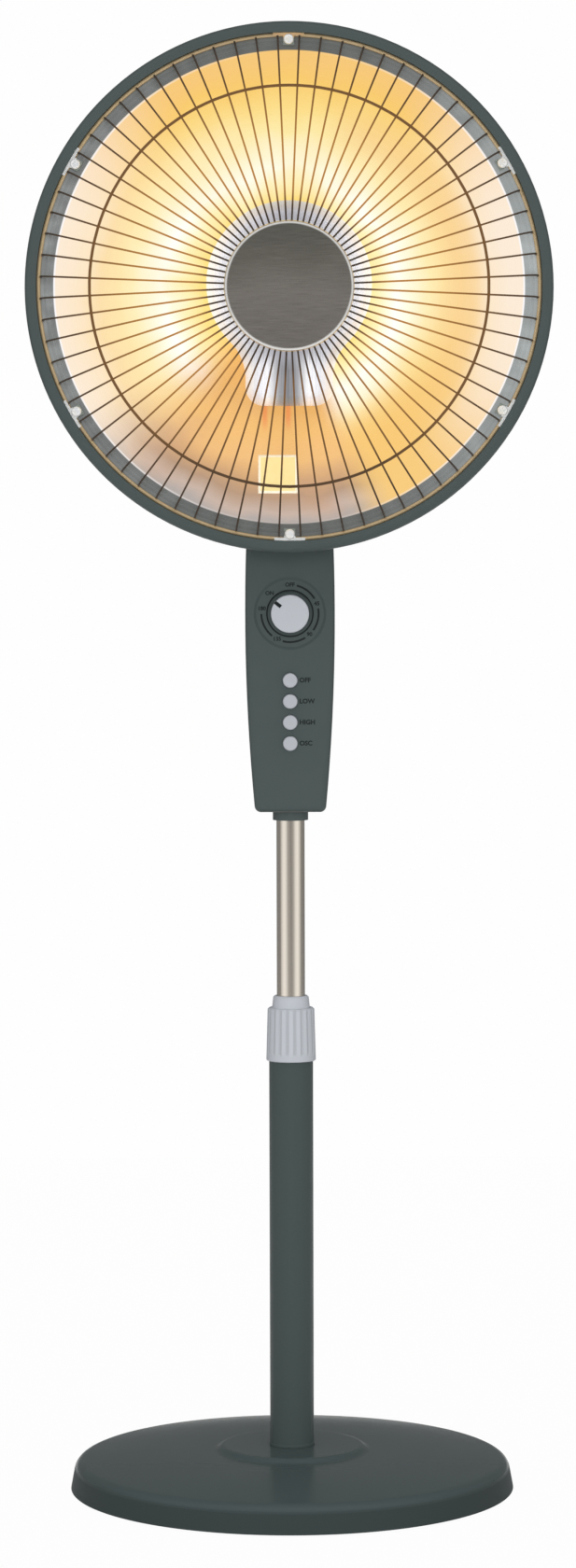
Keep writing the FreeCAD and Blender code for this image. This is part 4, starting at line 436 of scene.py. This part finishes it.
def lit_reflector():
    """Spun aluminium dish with the lamp ring's light painted on as glow (emission set by place on the dish),
    and the plain flange round it with painted reflections.
    """
    paint = Paint("lit_reflector", {"Metallic": 1.0, "Emission Strength": 1.0})
    radius, turn = paint.head_polar()
    x, _, z = paint.axes()
    share = paint.math("DIVIDE", radius, HEAD_RADIUS)
    over = paint.math("MAXIMUM", radius, AXIS_CLEAR)
    rise = paint.math("SUBTRACT", z, HEAD_Z)
    aside = paint.math("DIVIDE", x, over)
    rays = paint.join(aside, paint.times(share, 0.9), paint.math("DIVIDE", rise, over))
    streaks = paint.noise(5.0, 3.0, rays)
    wavy = paint.math("ADD", share, paint.times(paint.math("SUBTRACT", streaks, 0.5), 0.09))

    glow = horseshoe_glow(paint, wavy, share, turn, aside)
    glow = amber_right(paint, glow, share, turn, aside)
    # Painted glow: amber spots that break up the white-hot ring.
    glow_spots = paint.span(paint.noise(2.6, 2.0, rays), 0.34, 0.62, 0.3, 0.0)
    ring = paint.times(paint.span(share, 0.36, 0.46), paint.span(share, 0.54, 0.66, 1.0, 0.0))
    glow = paint.mix(paint.times(ring, glow_spots), glow, srgb(248, 222, 140))
    glow = dim_bottom(paint, glow, wavy, turn, aside, x, rise)
    # Painted highlight: a bright line along the dish's edge, strongest at left and right.
    edge = paint.span(radius, EDGE_HIGHLIGHT_START, EDGE_HIGHLIGHT_FULL)
    glow = paint.mix(paint.times(edge, paint.sideways(turn, 1.5)), glow, srgb(246, 245, 247))

    dish = paint.span(radius, DISH_RADIUS - 0.0003, DISH_RADIUS + 0.0003, 1.0, 0.0)
    # Painted glow spill on the flange, growing towards left and right.
    glow_spill = paint.mix(paint.span(aside, 0.3, 1.0), BLACK, (0.125, 0.138, 0.140, 1.0))
    facing = paint.span(paint.split(paint.normal)[1], -0.06, 0.0, 1.0, 0.0)
    # Emission: the painted glow on the dish and the painted glow spill on the flange, on the front face
    # only.
    paint.drive("Emission Color", paint.mix(facing, BLACK, paint.mix(dish, glow_spill, glow)))

    # Painted reflection on the flange: lighter at left and right, with darker patches standing in for the
    # wires' reflections.
    flange = paint.mix(paint.sideways(turn, 2.0), (0.46, 0.48, 0.46, 1.0), (0.92, 0.97, 0.96, 1.0))
    wire_reflection_patches = paint.span(paint.noise(9.0, 2.0, rays), 0.38, 0.62, 0.0, 0.42)
    flange = paint.mix(wire_reflection_patches, flange, (0.36, 0.38, 0.37, 1.0))
    paint.drive("Base Color", paint.mix(dish, flange, (0.10, 0.085, 0.07, 1.0)))
    rings = paint.noise(1.0, 2.0, paint.join(paint.times(radius, 420.0), 0.0, 0.0))
    paint.rough(rings, 0.22, 0.34)
    paint.bump(paint.times(rings, dish), 0.12, 0.0002)
    return paint.material


def bronze_wire():
    """Bronze-plated wire. The outer ring is painted paler as a highlight, and the wires in front of the glow
    get painted glow (emission) from it.
    """
    paint = Paint("bronze_wire", {"Metallic": 0.55, "Roughness": 0.42, "Emission Strength": 1.0})
    radius, turn = paint.head_polar()
    # Painted highlight: the outer ring of wire is laid on paler.
    rim = paint.past(radius, GUARD_RIM_RADIUS, 0.0002)
    brown = paint.mix(paint.noise(260.0, 3.0), srgb(48, 40, 35), srgb(70, 58, 47))
    paint.drive("Base Color", paint.mix(rim, brown, srgb(196, 174, 136)))
    # Painted glow on the wires in front of the hot band, weaker at the bottom and fading out over the
    # flange.
    lit = paint.times(paint.span(radius, WIRE_GLOW_START, WIRE_GLOW_FULL),
                      paint.span(radius, WIRE_DARK_START, WIRE_DARK_FULL, 1.0, 0.0),
                      paint.span(radius, WIRE_FADE_START, WIRE_FADE_END, 1.0, 0.1),
                      paint.sweep(turn, 130, 160, 1.0, 0.35))
    paint.drive("Emission Color", paint.mix(lit, (0.008, 0.005, 0.003, 1.0), srgb(172, 116, 44)))
    paint.bump(paint.noise(1400.0), 0.08, 0.0001)
    return paint.material


def clip_metal():
    """Zinc-plated guard clip: the rolled bar painted bright as a highlight, golden at the top as a painted
    reflection of the glow, and a darker tab under the screw.
    """
    paint = Paint("clip_steel", {"Metallic": 0.5})
    radius, turn = paint.head_polar()
    cloud = paint.noise(160.0, 3.0)
    tab = paint.mix(cloud, srgb(128, 136, 128), srgb(146, 152, 146))
    # Painted highlight on the bar, and at the top a golden painted reflection of the glow.
    bar = paint.mix(cloud, srgb(214, 217, 216), srgb(232, 234, 233))
    bar = paint.mix(paint.sweep(turn, 10, 30, 0.8, 0.0), bar, srgb(214, 166, 92))
    paint.drive("Base Color", paint.mix(paint.past(radius, CLIP_BAR_RADIUS, 0.0004), tab, bar))
    paint.rough(cloud, 0.30, 0.42)
    return paint.material


def fluted_plastic(colour):
    """The clamp nut's light plastic, with painted shade in its flutes and a painted highlight on its ridges.
    """
    paint = Paint("fluted_plastic", {"Specular IOR Level": 0.3})
    x, y, z = paint.axes()
    wave = paint.math("COSINE", paint.times(paint.math("ARCTAN2", y, x), NUT_FLUTES))
    low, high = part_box("clamp_nut")
    flutes_start = low.z + NUT_PLAIN_BAND
    flutes_end = high.z - NUT_NECK
    fluted = paint.times(paint.span(z, flutes_start, flutes_start + 0.002),
                         paint.span(z, flutes_end - 0.001, flutes_end, 1.0, 0.0))
    even = paint.mix(paint.noise(11.0, 3.0), toned(colour, 0.96), toned(colour, 1.05))
    # Painted shade in the flutes and a painted highlight on the ridges, following the flutes round the nut.
    flute_shading = paint.mix(paint.span(wave, -1.0, 0.6), toned(colour, 0.86), toned(colour, 1.06))
    paint.drive("Base Color", paint.mix(fluted, even, flute_shading))
    paint.rough(paint.noise(70.0), 0.37, 0.47, 0.25, 0.75)
    paint.bump(paint.noise(1300.0, 3.0), 0.08, 0.0002)
    return paint.material


def hub_metal():
    """Dark satin hub with painted reflections: lighter low on the disc, darker at its top, and a painted
    highlight on the rolled rim.
    """
    paint = Paint("hub_metal", {"Metallic": 1.0})
    radius, _ = paint.head_polar()
    _, _, z = paint.axes()
    lines = paint.noise(1.0, 4.0, paint.stretched(60.0, 10.0, 2600.0))
    cloudy = paint.math("ADD", z, paint.times(paint.noise(22.0), 0.03))
    # Painted reflection: the disc runs from lighter below to darker at the top.
    shade = paint.ramp(paint.span(cloudy, HUB_SHADE_LOW, HUB_SHADE_HIGH), [
        (0.0, srgb(178, 171, 164)), (0.45, srgb(186, 179, 171)), (0.8, srgb(160, 155, 146)),
        (1.0, srgb(142, 140, 130))])
    face = paint.mix(paint.times(lines, 0.18), shade, srgb(206, 200, 192))
    # Painted highlight on the rolled rim.
    rim = paint.past(radius, HUB_RIM_RADIUS, 0.0004)
    paint.drive("Base Color", paint.mix(rim, face, srgb(226, 224, 220)))
    paint.rough(lines, 0.24, 0.36)
    paint.bump(lines, 0.05, 0.0001)
    return paint.material


def shield_metal():
    """Polished shield with painted reflections: bright flanks, a darker crown, and a dark streak down the
    middle of its neck, all under a faint painted glow (emission).
    """
    paint = Paint("shield_metal", {"Metallic": 0.2, "Specular IOR Level": 0.4, "Emission Strength": 0.34})
    _, turn = paint.head_polar()
    x, _, z = paint.axes()
    # Painted reflection: bright flanks at left and right, darker at the crown.
    bulb = paint.mix(paint.sideways(turn, 1.3), srgb(172, 172, 178), srgb(252, 252, 255))
    across = paint.math("ABSOLUTE", paint.math("SUBTRACT", x, SHIELD_DARK_STREAK_X))
    # Painted reflection across the neck: a dark streak down its middle, bright to each side.
    neck = paint.ramp(paint.math("DIVIDE", across, SHIELD_NECK_HALF), [
        (0.0, srgb(112, 112, 110)), (0.2, srgb(146, 146, 146)), (0.46, srgb(252, 252, 254)),
        (0.7, srgb(232, 232, 236)), (1.0, srgb(246, 246, 248))])
    low = paint.span(z, SHIELD_NECK_FULL, SHIELD_NECK_START, 1.0, 0.0)
    grain = paint.noise(1.0, 3.0, paint.stretched(700.0, 40.0, 12.0))
    colour = paint.mix(paint.times(grain, 0.12), paint.mix(low, bulb, neck), srgb(150, 150, 155))
    paint.drive("Base Color", colour)
    # Painted glow: the shield's colour, tinted blue, as faint emission.
    paint.drive("Emission Color", paint.mix(0.5, colour, srgb(165, 175, 200)))
    paint.rough(grain, 0.24, 0.34)
    paint.bump(grain, 0.04, 0.0001)
    return paint.material


def hot_quartz():
    """Quartz tube round the lit filament."""
    paint = Paint("hot_quartz", {"Roughness": 0.08, "IOR": 1.46, "Emission Strength": 1.0})
    cloud = paint.noise(55.0)
    paint.drive("Base Color", paint.mix(cloud, srgb(250, 232, 200), srgb(255, 246, 226)))
    paint.drive("Emission Color", paint.mix(cloud, srgb(252, 214, 120), srgb(255, 245, 205)))
    return paint.material


def hot_filament():
    """Glowing coil in the quartz tube."""
    paint = Paint("hot_filament", {"Roughness": 0.5, "Emission Strength": 2.0})
    coils = paint.noise(700.0, 1.0)
    paint.drive("Base Color", paint.mix(coils, (0.9, 0.42, 0.1, 1.0), (1.0, 0.62, 0.25, 1.0)))
    paint.drive("Emission Color", paint.mix(coils, (1.0, 0.40, 0.08, 1.0), (1.0, 0.72, 0.34, 1.0)))
    return paint.material


def sticker_paper():
    """Blank printed foil: a pale yellow field inside a white border, with the lamp's light on it painted as
    glow (emission of its own colour).
    """
    paint = Paint("sticker_paper", {"Specular IOR Level": 0.2, "Emission Strength": 0.25})
    x, _, z = paint.axes()
    inside = 1.0
    for value, low, high in ((x, STICKER_LEFT, STICKER_RIGHT), (z, STICKER_LOW, STICKER_HIGH)):
        start = low + STICKER_BORDER
        end = high - STICKER_BORDER
        inside = paint.times(inside, paint.span(value, start, start + STICKER_BORDER_BLUR),
                             paint.span(value, end - STICKER_BORDER_BLUR, end, 1.0, 0.0))
    field = paint.mix(paint.noise(140.0), srgb(236, 216, 150), srgb(242, 224, 164))
    paper = paint.mix(inside, srgb(246, 238, 216), field)
    paint.drive("Base Color", paper)
    # Painted glow: the paper's own colour as emission.
    paint.drive("Emission Color", paper)
    paint.rough(paint.noise(300.0), 0.5, 0.62)
    return paint.material


def print_and_shade_ink():
    """Dark print on the housing, also laid as painted shade in the knob's pocket and pointer notch."""
    paint = Paint("print_and_shade_ink", {"Specular IOR Level": 0.2})
    cloud = paint.noise(500.0)
    paint.drive("Base Color", paint.mix(cloud, srgb(24, 28, 29), srgb(32, 37, 37)))
    paint.rough(cloud, 0.5, 0.65)
    return paint.material


def mesh_piece(name, points, faces, material, body):
    """A mesh in the heater's frame that rides on a body."""
    mesh = bpy.data.meshes.new(name)
    mesh.from_pydata(points, [], faces)
    mesh.update()
    piece = bpy.data.objects.new(name, mesh)
    bpy.context.scene.collection.objects.link(piece)
    mesh.materials.append(material)
    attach(piece, body)
    return piece


def lettering(name, words, size, centre, align, material):
    """Printed words on a face of the housing that looks to -Y, thin enough to lie on it."""
    curve = bpy.data.curves.new(name + "_curve", "FONT")
    curve.body = words
    curve.size = size
    curve.align_x = align
    curve.align_y = "CENTER"
    curve.extrude = PRINT_LIFT / 2
    curve.offset = size * LETTER_SWELL
    curve.resolution_u = 3
    source = bpy.data.objects.new(name + "_curve", curve)
    bpy.context.scene.collection.objects.link(source)
    bpy.context.view_layer.update()
    graph = bpy.context.evaluated_depsgraph_get()
    flat = bpy.data.meshes.new_from_object(source.evaluated_get(graph))
    bpy.data.objects.remove(source)
    points = [(centre.x + v.co.x, centre.y - v.co.z, centre.z + v.co.y) for v in flat.vertices]
    faces = [tuple(face.vertices) for face in flat.polygons]
    bpy.data.meshes.remove(flat)
    mesh_piece(name, points, faces, material, "control_housing")


def print_and_shadow_arc(name, start, end, middle, width, floor, material):
    """An arc on the dial from one clock angle to another, in degrees from the top: the printed scale's
    lines, and the painted shadow ring in the knob's pocket.
    """
    steps = max(ARC_LEAST_STEPS, int((end - start) / ARC_STEP))
    points = []
    for step in range(steps + 1):
        angle = math.radians(start + (end - start) * step / steps)
        for radius in (middle - width / 2, middle + width / 2):
            for depth in (floor, floor - PRINT_LIFT):
                points.append((radius * math.sin(angle), depth, DIAL_Z + radius * math.cos(angle)))
    faces = []
    for step in range(steps):
        a = 4 * step
        b = a + 4
        faces += [(a + 1, a + 3, b + 3, b + 1), (a, b, b + 2, a + 2)]
        faces += [(a, a + 1, b + 1, b), (a + 2, b + 2, b + 3, a + 3)]
    last = 4 * steps
    faces += [(0, 2, 3, 1), (last, last + 1, last + 3, last + 2)]
    mesh_piece(name, points, faces, material, "control_housing")


def dish_y(radius):
    """Depth of the dish's front face at a distance from its axis."""
    share = max(0.0, radius - DISH_FLAT_RADIUS) / (DISH_RADIUS - DISH_FLAT_RADIUS)
    return DISH_VERTEX_Y - DISH_DEPTH * share ** 2


def sticker():
    """A blank foil sticker laid on the curve of the dish."""
    points = []
    for row in range(STICKER_CELLS + 1):
        for column in range(STICKER_CELLS + 1):
            x = STICKER_LEFT + (STICKER_RIGHT - STICKER_LEFT) * column / STICKER_CELLS
            z = STICKER_LOW + (STICKER_HIGH - STICKER_LOW) * row / STICKER_CELLS
            points.append((x, dish_y(math.hypot(x, z - HEAD_Z)) - STICKER_LIFT, z))
    faces = []
    across = STICKER_CELLS + 1
    for row in range(STICKER_CELLS):
        for column in range(STICKER_CELLS):
            corner = row * across + column
            faces.append((corner, corner + 1, corner + across + 1, corner + across))
    piece = mesh_piece("reflector_sticker", points, faces, sticker_paper(), "head")
    skin = piece.modifiers.new("skin", "SOLIDIFY")
    skin.thickness = STICKER_THICKNESS
    skin.offset = -1.0
    for face in piece.data.polygons:
        face.use_smooth = True


def knob_notch_shade(material):
    """Painted shade: a dark layer on the floor of the knob's pointer notch."""
    angle = math.radians(-KNOB_REST)
    half = KNOB_NOTCH_WIDTH / 2 - KNOB_NOTCH_PLAY
    outline = []
    for across, along in ((-half, KNOB_NOTCH_START), (half, KNOB_NOTCH_START), (half, KNOB_NOTCH_END),
                          (-half, KNOB_NOTCH_END)):
        x = along * math.sin(angle) + across * math.cos(angle)
        z = along * math.cos(angle) - across * math.sin(angle)
        outline.append((x, DIAL_Z + z))
    depths = (KNOB_NOTCH_FLOOR - KNOB_SHADE_LAYER, KNOB_NOTCH_FLOOR)
    points = [(x, depth, z) for depth in depths for x, z in outline]
    sides = [(n, (n + 1) % 4, (n + 1) % 4 + 4, n + 4) for n in range(4)]
    faces = [(3, 2, 1, 0), (4, 5, 6, 7)] + sides
    mesh_piece("knob_notch_shade", points, faces, material, "timer_knob")


def dress(node, material):
    """Give a CAD node its material."""
    for place in frame["nodes"][node].material_slots:
        place.material = material


# Materials of the CAD nodes, by the record's slots, and of the nodes that need one of their own
finishes = {
    "base_gloss": base_enamel(srgb(69, 79, 79)),
    "dark_plastic": moulded("dark_plastic", DARK, 0.46, 0.3),
    "knob_dark": moulded("knob_dark", srgb(64, 73, 73), 0.42, 0.3),
    "pole_paint": coated("pole_paint", srgb(68, 78, 77), 0.38, 0.1),
    "dark_metal": coated("dark_metal", srgb(74, 83, 83), 0.4, 0.3),
    "light_plastic": moulded("light_plastic", LIGHT, 0.42, 0.3, 1300.0, 0.08),
    "tube_steel": drawn_metal("tube_steel", srgb(236, 227, 214), 0.16, (900.0, 900.0, 3.0)),
    "reflector_aluminium": lit_reflector(),
    "bronze_wire": bronze_wire(),
    "hub_steel": hub_metal(),
    "shield_steel": shield_metal(),
    "clip_steel": clip_metal(),
    "plain_steel": drawn_metal("plain_steel", srgb(190, 190, 188), 0.34, (40.0, 700.0, 40.0)),
    "zinc": zinc_plate(srgb(236, 236, 234)),
    "brass": drawn_metal("brass", srgb(208, 178, 112), 0.28, (60.0, 900.0, 60.0)),
    "quartz": hot_quartz(),
    "filament": hot_filament(),
    "ceramic": ceramic(),
    "nylon": moulded("nylon", srgb(214, 212, 204), 0.5, 0.35, 1200.0, 0.1),
    "rubber": moulded("rubber", srgb(44, 44, 45), 0.75, 0.2, 1100.0, 0.35),
    "iron": cast_iron(),
}
for part in frame["record"]["subparts"]:
    dress(part["node"], finishes[part["material_slot"]])
dress("clamp_nut", fluted_plastic(LIGHT))
# The buttons take a darker copy of the light plastic, as painted shade.
shaded_button_plastic = moulded("shaded_button_plastic", toned(LIGHT, 0.88), 0.42, 0.3, 1300.0, 0.08)
for node in BUTTON_NODES:
    dress(node, shaded_button_plastic)

# Printed scale and words, a painted shadow ring in the knob's pocket, the sticker, and painted shade in the
# knob's pointer notch
dark_print_and_shade = print_and_shade_ink()
for words, clock in DIAL_LABELS:
    angle = math.radians(clock)
    spot = Vector((DIAL_SCALE_RADIUS * math.sin(angle), DIAL_FLOOR_Y - PRINT_LIFT / 2,
                   DIAL_Z + DIAL_SCALE_RADIUS * math.cos(angle)))
    lettering("dial_" + words, words, DIAL_LETTER, spot, "CENTER", dark_print_and_shade)
for number, (start, end) in enumerate(DIAL_ARCS):
    print_and_shadow_arc("dial_arc_%d" % number, start, end, DIAL_SCALE_RADIUS, DIAL_LINE, DIAL_FLOOR_Y, dark_print_and_shade)
# Painted shadow: a dark ring on the pocket floor round the knob.
print_and_shadow_arc("pocket_shadow_ring", 0.0, POCKET_SHADOW_END, POCKET_SHADOW_RADIUS, POCKET_SHADOW_WIDTH, POCKET_FLOOR_Y, dark_print_and_shade)
for words, node in zip(BUTTON_LABELS, BUTTON_NODES):
    spot = Vector((BUTTON_LABEL_X, PANEL_Y - PRINT_LIFT / 2, middle_height(node)))
    lettering("label_" + words, words, BUTTON_LETTER, spot, "LEFT", dark_print_and_shade)
sticker()
knob_notch_shade(dark_print_and_shade)


def pale_floor():
    """White floor that keeps a faint shadow."""
    material = bpy.data.materials.new("pale_floor")
    material.use_nodes = True
    nodes = Nodes(material.node_tree)
    nodes.tree.nodes.clear()
    matt = nodes.add("ShaderNodeBsdfDiffuse", {"Color": grey(FLOOR_MATT)})
    shine = nodes.add("ShaderNodeEmission", {"Color": WHITE, "Strength": 1.0})
    path = nodes.add("ShaderNodeLightPath", {})
    seen = path.outputs["Is Camera Ray"]
    for ray in ("Is Glossy Ray", "Is Transmission Ray"):
        seen = nodes.math("MAXIMUM", seen, path.outputs[ray])
    blend = nodes.mix_shader(nodes.times(seen, FLOOR_WHITE), matt, shine)
    nodes.add("ShaderNodeOutputMaterial", {"Surface": blend.outputs[0]})
    return material


def lay_floor():
    """The floor, which isn't part of the heater."""
    quarters = ((-1, -1), (1, -1), (1, 1), (-1, 1))
    corners = [(x * FLOOR_REACH, y * FLOOR_REACH, -FLOOR_DROP) for x, y in quarters]
    mesh = bpy.data.meshes.new("floor")
    mesh.from_pydata(corners, [], [(0, 1, 2, 3)])
    mesh.materials.append(pale_floor())
    floor = bpy.data.objects.new("floor", mesh)
    bpy.context.scene.collection.objects.link(floor)


def studio_world():
    """Even soft light, a white background, and for reflections a room that is bright beside the camera."""
    world = bpy.data.worlds.new("studio")
    bpy.context.scene.world = world
    world.use_nodes = True
    nodes = Nodes(world.node_tree)
    nodes.tree.nodes.clear()
    path = nodes.add("ShaderNodeLightPath", {})
    depth = nodes.split(nodes.add("ShaderNodeTexCoord", {}).outputs["Generated"])[1]
    along = nodes.math("ADD", nodes.times(depth, 0.5), 0.5)
    levels = nodes.ramp(along, [(position, grey(level)) for position, level in ROOM])
    ambient = nodes.add("ShaderNodeBackground", {"Color": WHITE, "Strength": AMBIENT})
    room = nodes.add("ShaderNodeBackground", {"Color": levels, "Strength": 1.0})
    backdrop = nodes.add("ShaderNodeBackground", {"Color": WHITE, "Strength": BACKDROP})
    mirrored = nodes.math("MAXIMUM", path.outputs["Is Glossy Ray"], path.outputs["Is Transmission Ray"])
    light = nodes.mix_shader(mirrored, ambient, room)
    result = nodes.mix_shader(path.outputs["Is Camera Ray"], light, backdrop)
    nodes.add("ShaderNodeOutputWorld", {"Surface": result.outputs[0]})


def lamp(name, place, target, size, watts):
    """A soft panel that lights the heater and isn't seen, in reflections either."""
    light = bpy.data.lights.new(name, "AREA")
    light.shape = "RECTANGLE"
    light.size, light.size_y = size
    light.energy = watts
    holder = bpy.data.objects.new(name, light)
    bpy.context.scene.collection.objects.link(holder)
    holder.location = place
    holder.rotation_euler = (Vector(target) - Vector(place)).to_track_quat("-Z", "Y").to_euler()
    holder.visible_camera = False
    holder.visible_glossy = False


lay_floor()
studio_world()
for row in LAMPS:
    lamp(*row)

eye = bpy.data.cameras.new("photo_camera")
eye.sensor_fit = "AUTO"
eye.sensor_width = CAMERA_SENSOR
eye.lens = CAMERA_LENS
eye.clip_end = CAMERA_REACH
camera = bpy.data.objects.new("photo_camera", eye)
bpy.context.scene.collection.objects.link(camera)
camera.location = CAMERA_PLACE
camera.rotation_euler = (math.radians(90.0 - CAMERA_DOWN), math.radians(CAMERA_ROLL), 0.0)
bpy.context.scene.camera = camera
bpy.context.scene.view_settings.view_transform = "Standard"
